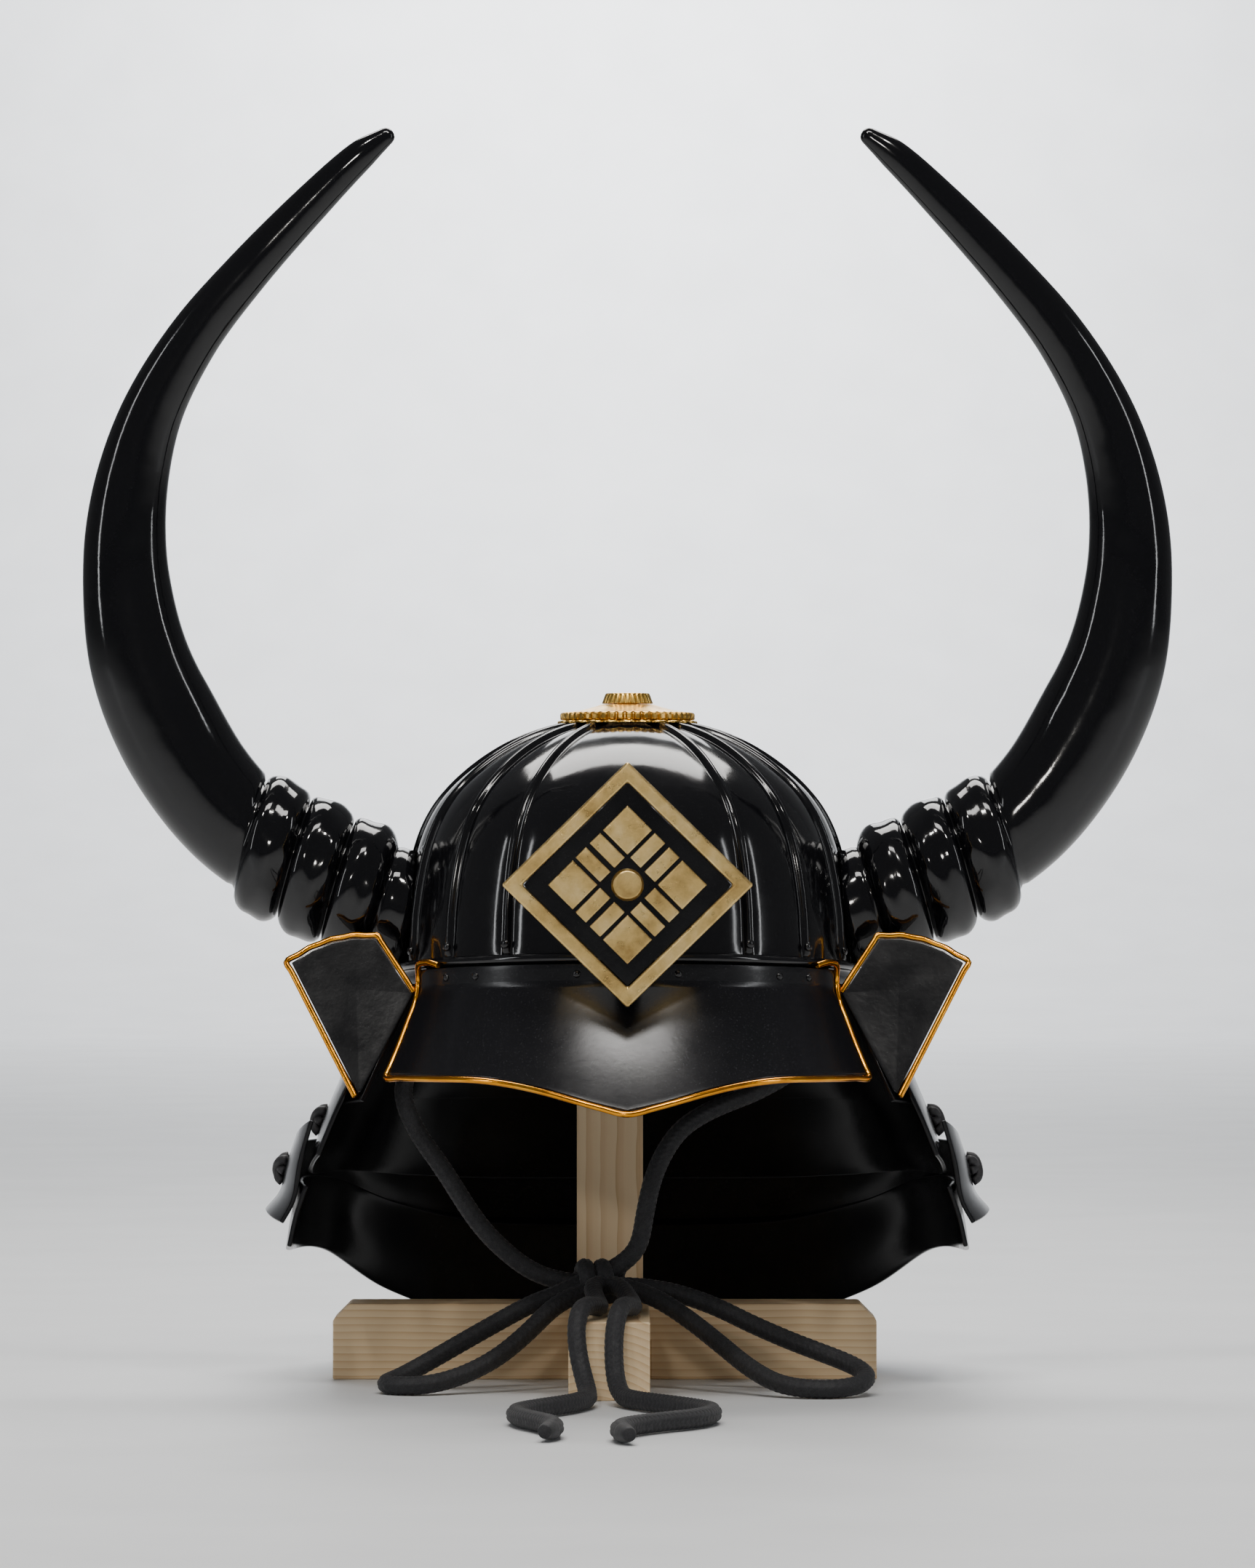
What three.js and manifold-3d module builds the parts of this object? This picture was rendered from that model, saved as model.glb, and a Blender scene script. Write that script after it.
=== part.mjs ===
// A full-size kabuto (samurai helmet) with horns, crest, neck guard and tied chin cord on its plain wooden stand.
// Millimetres, +Z up. X runs to the right as seen from the front, the helmet faces -Y.
import * as THREE from "three";
import { mergeVertices } from "three/addons/utils/BufferGeometryUtils.js";
import Module from "manifold-3d";

const wasm = await Module();
wasm.setup();

// ---------------------------------------------------------------- driving dimensions
const GAP = 0.35; // between pieces that touch
const CENTRE_Y = -7.2; // the helmet's own centre plane, so that the whole object is centred on the origin
const DEG = Math.PI / 180;

// bowl
const BOWL_DEPTH_RATIO = 1.09; // front-to-back size over width
const BOWL_WALL = 2.2;
const BEAD_Z = 198; // height of the bead of the waist band at mid depth
const BEAD_SLOPE = 0.067; // the foot of the bowl drops towards the back
const SKIRT = 9.5; // bowl wall below the bead
const RIDGE_H = 2.4;
const RIDGE_HALF_W = 2.2;
const BOWL_JOINT = 0.4; // gap between the bowl's plates
const BOWL_PARTS = [["bowl_front", -55, 55], ["bowl_right", 55, 125], ["bowl_back", 125, 235], ["bowl_left", 235, 305]];
const RIDGE_ANGLES = [31.5, 51, 70.5, 90, 109.5, 129, 148.5]; // each side, from the front
// outer half width of the bowl by height
const BOWL_PROFILE = [
  { z: 318.6, r: 9 },
  { z: 317.4, r: 20 },
  { z: 314.8, r: 33 },
  { z: 310.2, r: 48 },
  { z: 303.6, r: 62 },
  { z: 294.6, r: 75.5 },
  { z: 284.0, r: 87 },
  { z: 272.0, r: 95.2 },
  { z: 258.0, r: 100.8 },
  { z: 240.0, r: 104.8 },
  { z: 220.0, r: 107.4 },
  { z: 203.0, r: 108.6 },
];

// waist band section: out = distance from the bowl's wall, up = height over the bead
const BAND_SECTION = [
  { out: GAP, up: -9.2 },
  { out: 2.4, up: -9.2 },
  { out: 2.4, up: -2.0 },
  { out: 3.9, up: -1.3 },
  { out: 4.3, up: 0.1 },
  { out: 3.5, up: 1.5 },
  { out: 1.9, up: 2.1 },
  { out: GAP, up: 1.9 },
];

// visor: angle from the front, height of the lower edge
const VISOR_HALF_ANGLE = 60;
const VISOR_T = 2;
const VISOR_TOP_OUT = 4.8;
const VISOR_FLANGE = 9.5;
const VISOR_TURN = 0.56; // the side edges run more to the front than straight out
const VISOR_EDGE = [
  { at: 0, z: 136.4 },
  { at: 6, z: 139.6 },
  { at: 12, z: 143.4 },
  { at: 18, z: 146.9 },
  { at: 25, z: 149.7 },
  { at: 32, z: 151.1 },
  { at: 40, z: 151.2 },
  { at: 50, z: 150.9 },
  { at: 60, z: 150.7 },
];
// one flared profile all along, cut off at the edge's height: its size at the middle and its slopes, down over out
const VISOR_REACH = 41.4;
const VISOR_DEEP = 57.3;
const VISOR_TOP_SLOPE = 1.75;
const VISOR_END_SLOPE = 1.1;
const VISOR_SIDE_FLARE = 0.14; // how much wider the flare is half way to the sides
const RIM_R = 1.5;

// neck guard plates: half = half width, back = reach of the nape, n = roundness of the plan, edge = y of the front edge,
// then the height at the front edge and at 90, 115, 135, 155 and 180 degrees round from the front
const PLATE_T = 2.2;
const PLATES = {
  neck_plate_1: [
    { half: 113.9, back: 123.6, n: 2.0, edge: -53, z: [189, 192, 190, 187.6, 185.6, 185] },
    { half: 127.5, back: 133.2, n: 2.3, edge: -67.5, z: [163, 162.5, 161, 159.5, 158.5, 158] },
    { half: 139.0, back: 141.0, n: 2.6, edge: -79, z: [138, 134, 133, 132.4, 132, 132] },
  ],
  neck_plate_2: [
    { half: 136.8, back: 141.2, n: 2.5, edge: -66.5, z: [155, 150, 149, 148, 146.5, 146] },
    { half: 146.6, back: 150.4, n: 2.6, edge: -69.5, z: [133, 125, 123.5, 121, 119, 118] },
    { half: 153.6, back: 157.6, n: 2.75, edge: -70, z: [112, 100, 98, 94, 91, 90] },
  ],
  neck_plate_3: [
    { half: 160.0, back: 161.2, n: 2.2, edge: -62, z: [128, 117, 114, 110, 106, 104] },
    { half: 164.6, back: 168.4, n: 2.2, edge: -61, z: [108, 104, 101, 91, 82, 78] },
    { half: 167.8, back: 173.6, n: 2.15, edge: -60, z: [90, 92, 88, 72, 59, 54] },
    { half: 175.0, back: 181.0, n: 2.0, edge: -60, z: [79.5, 83, 79, 63, 50, 45] },
  ],
  neck_plate_4: [
    { half: 158.0, back: 163.0, n: 2.6, edge: -60, z: [97, 98, 94, 80, 69, 66] },
    { half: 161.8, back: 168.6, n: 2.8, edge: -60, z: [82, 80, 76, 58, 44.5, 40] },
    { half: 164.0, back: 172.0, n: 3.0, edge: -60, z: [68, 63, 58, 35.5, 19.5, 14] },
  ],
};
const PLATE_BACK_N = 2.3;
const PLATE_STEPS = 34;

// turned-back ends of the top plate: outline from the fold's upper end round to its lower end
const TURNBACK = [
  { x: 103.4, z: 188.6 },
  { x: 120.2, z: 213.6 },
  { x: 130.6, z: 213.9 },
  { x: 140.7, z: 212.0 },
  { x: 151.0, z: 208.0 },
  { x: 160.0, z: 202.4 },
  { x: 127.4, z: 141.5 },
];
const TURNBACK_PLANE = { y0: -143.6, perX: 0.0402, perZ: 0.4316 }; // y = y0 + perX x + perZ z
const TURNBACK_T = 2.0;

// horns: centre line of the right one and its thickness
const HORN_Y = -5;
const HORN_FLAT = 0.82; // depth over width
const HORN_RINGS = [
  { x: 129.4, z: 236.6 },
  { x: 150.8, z: 247.0 },
  { x: 171.6, z: 257.0 },
];
const HORN_TILT = 16.5 * DEG; // lean of the rings from upright
const HORN_RING_R = 34.5;
const HORN_GROOVE_R = 27.5;
const HORN_AXIS = [
  { x: 88, y: 0, z: 216.5, w: 58 },
  { x: 110, y: 0, z: 227.5, w: 58 },
  { x: 129.4, y: 0, z: 236.8, w: 60 },
  { x: 150.8, y: 0, z: 246.6, w: 60 },
  { x: 171.6, y: 0, z: 257.6, w: 60 },
  { x: 188.5, y: 0, z: 270.6, w: 58.5 },
  { x: 204.0, y: -1, z: 287.4, w: 56.5 },
  { x: 221.7, y: -3, z: 315.5, w: 54 },
  { x: 235.2, y: -6, z: 348.0, w: 49 },
  { x: 241.3, y: -9, z: 385.0, w: 42.5 },
  { x: 241.3, y: -12, z: 413.0, w: 38.5 },
  { x: 236.5, y: -15, z: 442.0, w: 34 },
  { x: 227.0, y: -18, z: 470.0, w: 29.4 },
  { x: 208.0, y: -21, z: 502.6, w: 25.4 },
  { x: 183.0, y: -24, z: 533.0, w: 22 },
  { x: 151.0, y: -26, z: 567.0, w: 18.4 },
  { x: 127.5, y: -28, z: 589.5, w: 14.6 },
  { x: 115.0, y: -29, z: 598.6, w: 8.4 },
];

// crown ornament
const CROWN_BASE_R = 34;
const CROWN_LOBES = 24;
const CROWN_RING_R = 32.6;
const CROWN_TEETH = 48;
const CROWN_TOOTH = 1.4;
const CROWN_CAP_R = 12.4;
// radius and height along the toothed ring, from its top at the cap, out to the teeth and back in below
const CROWN_RING = [
  { r: 13, z: 326.4 },
  { r: 17.5, z: 324.9 },
  { r: 23, z: 323.5 },
  { r: 31.8, z: 322.3 },
  { r: 32.6, z: 321.5 },
  { r: 32.6, z: 318.9 },
  { r: 22, z: 320.85 },
];
const CROWN_HOLE = 6.5;

// crest
const CREST_Z = 240;
const CREST_Y = -141.5; // back of the frame
const CREST_HALF_W = 58.4;
const CREST_HALF_H = 57.2;
const CREST_BAR = 9.7; // bar of the frame, measured along a diagonal
const CREST_T = 4.6;
const CREST_FIELD = 38;
const TILE_T = 1.8;

// stand
const STAND_X = -8.5;
const BAR_W = 38;
const BAR_H = 36.6;
const BAR_FRONT = -129;
const BAR_BACK = 95;
const PLANK_HALF = 131.5;
const PLANK_X = -11;
const PLANK_T = 36;
const PLANK_CHAMFER = 8;
const POST = 32;
const POST_Y = 18;
const POST_TOP = 286;

// chin cord
const CORD_R = 4.25;

// ---------------------------------------------------------------- small tools
const root = new THREE.Group();
root.name = "kabuto_on_stand";
root.position.set(0, CENTRE_Y, 0);

// value of a column of a table at t, by a smooth curve through its rows
function column(rows, key, t, at) {
  let i = 0;
  while (i < rows.length - 2 && t > rows[i + 1][at]) i++;
  const a = rows[Math.max(0, i - 1)], b = rows[i], c = rows[i + 1], d = rows[Math.min(rows.length - 1, i + 2)];
  const span = c[at] - b[at];
  const f = Math.min(1, Math.max(0, (t - b[at]) / span));
  const mb = i === 0 ? (c[key] - b[key]) / span : (c[key] - a[key]) / (c[at] - a[at]);
  const mc = d === c ? (c[key] - b[key]) / span : (d[key] - b[key]) / (d[at] - b[at]);
  const f2 = f * f, f3 = f2 * f;
  return (2 * f3 - 3 * f2 + 1) * b[key] + (f3 - 2 * f2 + f) * span * mb + (-2 * f3 + 3 * f2) * c[key] + (f3 - f2) * span * mc;
}

// closed triangle mesh with merged corners and faces that point out
function clean(geometry) {
  const g = geometry.clone();
  for (const name of Object.keys(g.attributes)) if (name !== "position") g.deleteAttribute(name);
  const merged = mergeVertices(g, 1e-3);
  const p = merged.attributes.position.array;
  const src = merged.index.array;
  const tri = [];
  let volume = 0;
  for (let i = 0; i < src.length; i += 3) {
    const [a, b, c] = [src[i], src[i + 1], src[i + 2]];
    if (a === b || b === c || a === c) continue;
    tri.push(a, b, c);
    const [ax, ay, az, bx, by, bz, cx, cy, cz] = [p[3 * a], p[3 * a + 1], p[3 * a + 2], p[3 * b], p[3 * b + 1], p[3 * b + 2], p[3 * c], p[3 * c + 1], p[3 * c + 2]];
    volume += ax * (by * cz - bz * cy) + ay * (bz * cx - bx * cz) + az * (bx * cy - by * cx);
  }
  if (volume < 0) for (let i = 0; i < tri.length; i += 3) [tri[i + 1], tri[i + 2]] = [tri[i + 2], tri[i + 1]];
  merged.setIndex(tri);
  return merged;
}

function toSolid(geometry) {
  const g = clean(geometry);
  return new wasm.Manifold(new wasm.Mesh({ numProp: 3, vertProperties: new Float32Array(g.attributes.position.array), triVerts: new Uint32Array(g.index.array) }));
}

function fromSolid(solid) {
  const m = solid.getMesh();
  const n = m.numProp;
  const v = new Float32Array(m.numVert * 3);
  for (let i = 0; i < m.numVert; i++) v.set(m.vertProperties.subarray(i * n, i * n + 3), i * 3);
  return new THREE.BufferGeometry().setAttribute("position", new THREE.BufferAttribute(v, 3)).setIndex(Array.from(m.triVerts));
}

// wall between two matching grids of points; wrapped closes it round in its first direction
function wall(outer, inner, wrapped) {
  const nu = outer.length, nv = outer[0].length;
  const pos = [];
  for (const grid of [outer, inner]) for (const line of grid) for (const p of line) pos.push(p.x, p.y, p.z);
  const o = (i, j) => (i % nu) * nv + j;
  const n = (i, j) => nu * nv + (i % nu) * nv + j;
  const tri = [];
  const quad = (a, b, c, d) => tri.push(a, b, c, a, c, d);
  const last = wrapped ? nu : nu - 1;
  for (let i = 0; i < last; i++) {
    for (let j = 0; j < nv - 1; j++) {
      quad(o(i, j), o(i + 1, j), o(i + 1, j + 1), o(i, j + 1));
      quad(n(i, j), n(i, j + 1), n(i + 1, j + 1), n(i + 1, j));
    }
    quad(o(i, 0), n(i, 0), n(i + 1, 0), o(i + 1, 0));
    quad(o(i, nv - 1), o(i + 1, nv - 1), n(i + 1, nv - 1), n(i, nv - 1));
  }
  if (!wrapped)
    for (let j = 0; j < nv - 1; j++) {
      quad(o(0, j), o(0, j + 1), n(0, j + 1), n(0, j));
      quad(o(nu - 1, j), n(nu - 1, j), n(nu - 1, j + 1), o(nu - 1, j + 1));
    }
  const g = new THREE.BufferGeometry().setAttribute("position", new THREE.BufferAttribute(new Float32Array(pos), 3));
  g.setIndex(tri);
  return g;
}

// unit normals of a grid of points, turned away from a point inside
function normals(grid, wrapped, inside) {
  const nu = grid.length, nv = grid[0].length;
  return grid.map((line, i) =>
    line.map((p, j) => {
      const i0 = wrapped ? (i + nu - 1) % nu : Math.max(0, i - 1), i1 = wrapped ? (i + 1) % nu : Math.min(nu - 1, i + 1);
      const du = grid[i1][j].clone().sub(grid[i0][j]);
      const dv = grid[i][Math.min(nv - 1, j + 1)].clone().sub(grid[i][Math.max(0, j - 1)]);
      const n = du.cross(dv).normalize();
      if (n.dot(p.clone().sub(inside)) < 0) n.negate();
      return n;
    }),
  );
}

const offset = (grid, normal, d) => grid.map((line, i) => line.map((p, j) => p.clone().addScaledVector(normal[i][j], d)));

// rings of points joined into a solid with flat ends
function loft(rings) {
  const n = rings[0].length;
  const pos = [];
  rings.forEach((r) => r.forEach((p) => pos.push(p.x, p.y, p.z)));
  const mid = (r) => r.reduce((s, p) => s.add(p), new THREE.Vector3()).multiplyScalar(1 / n);
  const a = mid(rings[0]), b = mid(rings[rings.length - 1]);
  pos.push(a.x, a.y, a.z, b.x, b.y, b.z);
  const tri = [];
  const v = (i, j) => i * n + (j % n);
  for (let i = 0; i < rings.length - 1; i++) for (let j = 0; j < n; j++) tri.push(v(i, j), v(i, j + 1), v(i + 1, j + 1), v(i, j), v(i + 1, j + 1), v(i + 1, j));
  const e = rings.length * n;
  for (let j = 0; j < n; j++) tri.push(e, v(0, j + 1), v(0, j), e + 1, v(rings.length - 1, j), v(rings.length - 1, j + 1));
  const g = new THREE.BufferGeometry().setAttribute("position", new THREE.BufferAttribute(new Float32Array(pos), 3));
  g.setIndex(tri);
  return g;
}

// round bar or cord along a smooth curve
function tube(points, radius, sides, steps, tension = 0.5) {
  const shape = new THREE.Shape();
  for (let i = 0; i < sides; i++) {
    const a = ((i + 0.5) / sides) * 2 * Math.PI;
    if (i === 0) shape.moveTo(radius * Math.cos(a), radius * Math.sin(a));
    else shape.lineTo(radius * Math.cos(a), radius * Math.sin(a));
  }
  const path = new THREE.CatmullRomCurve3(points, false, "centripetal", tension);
  return new THREE.ExtrudeGeometry(shape, { steps, extrudePath: path, bevelEnabled: false, curveSegments: 1 });
}

const material = (color, roughness, metalness) => () => new THREE.MeshStandardMaterial({ color, roughness, metalness });
const LACQUER = material(0x0a0a0b, 0.12, 0.0);
const SATIN = material(0x101013, 0.35, 0.0);
const GOLD = material(0xd9962c, 0.22, 1.0);
const BRASS = material(0xa8894f, 0.42, 1.0);
const WOOD = material(0xd8b98c, 0.6, 0.0);
const CORD = material(0x17171a, 0.85, 0.0);

function add(name, geometry, finish, parent = root) {
  const mesh = new THREE.Mesh(clean(geometry), finish());
  mesh.name = name;
  parent.add(mesh);
  return mesh;
}

const V = (x, y, z) => new THREE.Vector3(x, y, z);
const beadZ = (y) => BEAD_Z - BEAD_SLOPE * y;

// ---------------------------------------------------------------- bowl
const bowlR = (z) => column(BOWL_PROFILE.map((p) => ({ d: -p.z, r: p.r })), "r", -z, "d");
const BOWL_ROWS = [318.6, 317.2, 314.2, 309, 301.5, 291.5, 279, 263, 243, 222];

// point of the bowl's outer face: theta from the front, row of the table, extra distance outwards
function bowlPoint(theta, row, out) {
  const s = Math.sin(theta * DEG), c = Math.cos(theta * DEG);
  const z0 = BOWL_ROWS[row];
  const r = bowlR(z0) + out;
  const y = -r * BOWL_DEPTH_RATIO * c;
  const lean = Math.min(1, Math.max(0, (275 - z0) / 75));
  return V(r * s, y, z0 - BEAD_SLOPE * y * lean * lean * (3 - 2 * lean) + out * Math.max(0, (z0 - 285) / 34));
}
// point of the foot of the bowl at a height over the bead
function footPoint(theta, up, out) {
  const s = Math.sin(theta * DEG), c = Math.cos(theta * DEG);
  const r = 108.55 + Math.min(0, -0.06 * up) ;
  const nx = s * BOWL_DEPTH_RATIO, ny = -c, l = Math.hypot(nx, ny);
  const y = -r * BOWL_DEPTH_RATIO * c;
  return V(r * s + (nx / l) * out, y + (ny / l) * out, beadZ(y) + up);
}
// columns of the bowl: three for each ridge and some between
function bowlColumns(row) {
  const r = row < BOWL_ROWS.length ? bowlR(BOWL_ROWS[row]) : 108.6;
  const half = Math.min(RIDGE_HALF_W / r / DEG, 6.2);
  const right = [];
  RIDGE_ANGLES.forEach((a) => right.push({ a: a - half, h: 0 }, { a, h: 1 }, { a: a + half, h: 0 }));
  const list = [{ a: 0, h: 0 }, { a: 15.5, h: 0 }, ...right, { a: 164.5, h: 0 }, { a: 180, h: 0 }];
  const left = list.slice(1, -1).reverse().map((k) => ({ a: 360 - k.a, h: k.h }));
  return [...list, ...left];
}
const ridge = (row) => [0, 0.55, 1, 1, 1, 1, 1, 1, 1, 1][row] * RIDGE_H;
const columnsN = bowlColumns(0).length;
function bowlGrid(extra, ridged) {
  const grid = [];
  for (let i = 0; i < columnsN; i++) {
    const line = [];
    BOWL_ROWS.forEach((z, row) => {
      const k = bowlColumns(row)[i];
      line.push(bowlPoint(k.a, row, extra + (ridged ? k.h * ridge(row) : 0)));
    });
    const k = bowlColumns(BOWL_ROWS.length)[i];
    line.push(footPoint(k.a, 5, extra + (ridged ? k.h * RIDGE_H * 0.9 : 0)));
    line.push(footPoint(k.a, 3, extra));
    line.push(footPoint(k.a, -SKIRT, extra));
    grid.push(line);
  }
  return grid;
}
const bowlOuter = bowlGrid(0, true);
const bowlInner = bowlGrid(-BOWL_WALL, false).map((line) => line.map((p, j) => (j < 6 ? p.clone().setZ(p.z - [2.2, 2.2, 2.1, 1.8, 1.3, 0.7][j]) : p)));
const bowlSolid = toSolid(wall(bowlOuter, bowlInner, true));
// the bowl's plates are joined beside the ribs: the joints run straight down from the crown
for (const [name, from, to] of BOWL_PARTS) {
  const mid = ((from + to) / 2) * DEG, half = ((to - from) / 2) * DEG;
  const far = 260;
  const corner = (a, d) => V(Math.sin(mid) * d + Math.sin(a) * far, -Math.cos(mid) * d - Math.cos(a) * far, 0);
  const d = BOWL_JOINT / 2 / Math.sin(half);
  const base = [V(Math.sin(mid) * d, -Math.cos(mid) * d, 0), corner(mid - half, d), corner(mid, d).multiplyScalar(1.6), corner(mid + half, d)];
  const wedge = loft([120, 360].map((z) => base.map((q) => V(q.x, q.y, z))));
  const bodies = bowlSolid.intersect(toSolid(wedge)).decompose().sort((p, q) => q.volume() - p.volume());
  add(name, fromSolid(bodies[0]), LACQUER);
}

// the space that the bowl takes up, a little larger, to cut what stands against it
const bowlSpace = (() => {
  const grid = bowlGrid(0.45, true);
  const rings = [];
  for (let j = 0; j < grid[0].length; j++) rings.push(grid.map((line) => line[j]));
  return toSolid(loft(rings));
})();

// and the space of the waist band and of what is fixed to it
const bandSpace = toSolid(
  loft(
    [-13, 2.6].map((up) => {
      const ring = [];
      for (let i = 0; i < 48; i++) ring.push(footPoint((i / 48) * 360, up, 5.2));
      return ring;
    }),
  ),
);

// ---------------------------------------------------------------- waist band
{
  const grid = [];
  const N = 40;
  for (let i = 0; i < N; i++) grid.push([...BAND_SECTION].map((s) => footPoint((i / N) * 360, s.up, s.out)));
  // the section closes on itself, so the last point joins the first
  const n = BAND_SECTION.length;
  const pos = [];
  grid.forEach((l) => l.forEach((p) => pos.push(p.x, p.y, p.z)));
  const tri = [];
  const v = (i, j) => (i % N) * n + (j % n);
  for (let i = 0; i < N; i++) for (let j = 0; j < n; j++) tri.push(v(i, j), v(i + 1, j), v(i + 1, j + 1), v(i, j), v(i + 1, j + 1), v(i, j + 1));
  const g = new THREE.BufferGeometry().setAttribute("position", new THREE.BufferAttribute(new Float32Array(pos), 3));
  g.setIndex(tri);
  add("waist_band", g, LACQUER);
}

// ---------------------------------------------------------------- visor
const VISOR_CTRL = (VISOR_DEEP - VISOR_END_SLOPE * VISOR_REACH) / (VISOR_TOP_SLOPE - VISOR_END_SLOPE);
function visorPoint(a, v) {
  // v: 0 top of the flange, 0.15 bottom of the flange, 1 lower edge
  const top = footPoint(a, -2.7, VISOR_TOP_OUT);
  const low = footPoint(a, -2.7 - VISOR_FLANGE, VISOR_TOP_OUT);
  if (v <= 0.15) return top.lerp(low, v / 0.15);
  const deep = ((low.z - column(VISOR_EDGE, "z", Math.abs(a), "at")) * (v - 0.15)) / 0.85;
  const b = 2 * VISOR_TOP_SLOPE * VISOR_CTRL;
  const t = (2 * deep) / (b + Math.sqrt(b * b + 4 * (VISOR_DEEP - b) * deep));
  const flare = 1 + VISOR_SIDE_FLARE * Math.sin((Math.PI * a) / VISOR_HALF_ANGLE) ** 2;
  const out = (2 * VISOR_CTRL * t * (1 - t) + VISOR_REACH * t * t) * flare;
  const turn = a * VISOR_TURN * DEG;
  return low.add(V(out * Math.sin(turn), -out * Math.cos(turn), -deep));
}
const VISOR_ANGLES = [0, 6, 12, 18, 25, 32, 39, 46, 53, VISOR_HALF_ANGLE];
const visorColumns = [...VISOR_ANGLES.slice(1).reverse().map((a) => -a), ...VISOR_ANGLES];
const VISOR_ROWS = [0, 0.15, 0.34, 0.54, 0.77, 1];
{
  const outer = visorColumns.map((a) => VISOR_ROWS.map((v) => visorPoint(a, v)));
  const inner = offset(outer, normals(outer, false, V(0, 0, 170)), -VISOR_T);
  add("visor", wall(outer, inner, false), LACQUER);
}

// gold edge along a border: the bar lies just outside the plate's edge
function edgeBar(points, normalsOut, radius) {
  return points.map((p, i) => p.clone().addScaledVector(normalsOut[i], radius + GAP));
}
{
  const path = [];
  const edge = (a, v) => {
    const p = visorPoint(a, v), q = visorPoint(a * 0.97, v);
    const out = p.clone().sub(q).normalize();
    return { p, out };
  };
  const left = [];
  for (const v of [0.06, 0.2, 0.45, 0.72, 0.93]) {
    const e = edge(-VISOR_HALF_ANGLE, v);
    left.push(e.p.addScaledVector(e.out, RIM_R + GAP));
  }
  const low = [];
  for (const a of visorColumns) {
    const p = visorPoint(a, 1), q = visorPoint(a, 0.97);
    const out = p.clone().sub(q).normalize();
    const r = p.clone().addScaledVector(out, RIM_R + GAP);
    if (Math.abs(a) === VISOR_HALF_ANGLE) r.addScaledVector(edge(a, 1).out, RIM_R + GAP);
    low.push(r);
  }
  const right = left.map((p) => V(-p.x, p.y, p.z)).reverse();
  path.push(...left, ...low, ...right);
  // the middle of the visor's wall
  path.forEach((p) => p.add(V(0, VISOR_T * 0.35, -VISOR_T * 0.25)));
  add("visor_rim", tube(path, RIM_R, 6, 52, 0.3), GOLD);
}

// ---------------------------------------------------------------- neck guard
const HEIGHT_ANGLES = [90, 115, 135, 155, 180];
function platePoint(row, f) {
  // f from -1 (left front edge) over 0 (nape) to 1 (right front edge)
  const front = Math.acos(Math.pow(Math.abs(row.edge) / row.back, row.n / 2)) / DEG;
  const a = 180 - Math.abs(f) * (180 - front);
  const n = a < 90 ? row.n : PLATE_BACK_N;
  const s = Math.sin(a * DEG), c = Math.cos(a * DEG);
  const x = row.half * Math.pow(s, 2 / n) * (f < 0 ? -1 : 1);
  const y = -row.back * Math.sign(c) * Math.pow(Math.abs(c), 2 / n);
  const heights = [{ a: front, z: row.z[0] }, ...HEIGHT_ANGLES.map((h, i) => ({ a: h, z: row.z[i + 1] }))];
  return V(x, y, column(heights, "z", a, "a"));
}
function plateGrid(rows) {
  const grid = [];
  for (let i = 0; i <= PLATE_STEPS; i++) grid.push(rows.map((row) => platePoint(row, -1 + (2 * i) / PLATE_STEPS)));
  return grid;
}
function plateSolid(rows) {
  const outer = plateGrid(rows);
  const inner = offset(outer, normals(outer, false, V(0, 0, 100)), -PLATE_T);
  return toSolid(wall(outer, inner, false));
}

const planeY = (x, z) => TURNBACK_PLANE.y0 + TURNBACK_PLANE.perX * x + TURNBACK_PLANE.perZ * z;
// flat panel of a given outline and thickness, for the right side or, mirrored, the left
function turnback(outline, side) {
  const n = V(TURNBACK_PLANE.perX, -1, TURNBACK_PLANE.perZ).normalize();
  const face = (d) => outline.map((p) => V(p.x, planeY(p.x, p.z), p.z).addScaledVector(n, d));
  const rings = [face(-TURNBACK_T), face(0)].map((r) => r.map((p) => V(side * p.x, p.y, p.z)));
  return loft(rings);
}
{
  const outline = [{ x: 101.9, z: 187.9 }, ...TURNBACK.map((p) => ({ x: p.x, z: p.z })), { x: 124.6, z: 139.6 }];
  let solid = plateSolid(PLATES.neck_plate_1);
  for (const side of [-1, 1]) solid = solid.add(toSolid(turnback(outline, side)));
  add("neck_plate_1", fromSolid(solid), SATIN);
}
for (const name of ["neck_plate_2", "neck_plate_3", "neck_plate_4"]) add(name, fromSolid(plateSolid(PLATES[name])), LACQUER);

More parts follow.
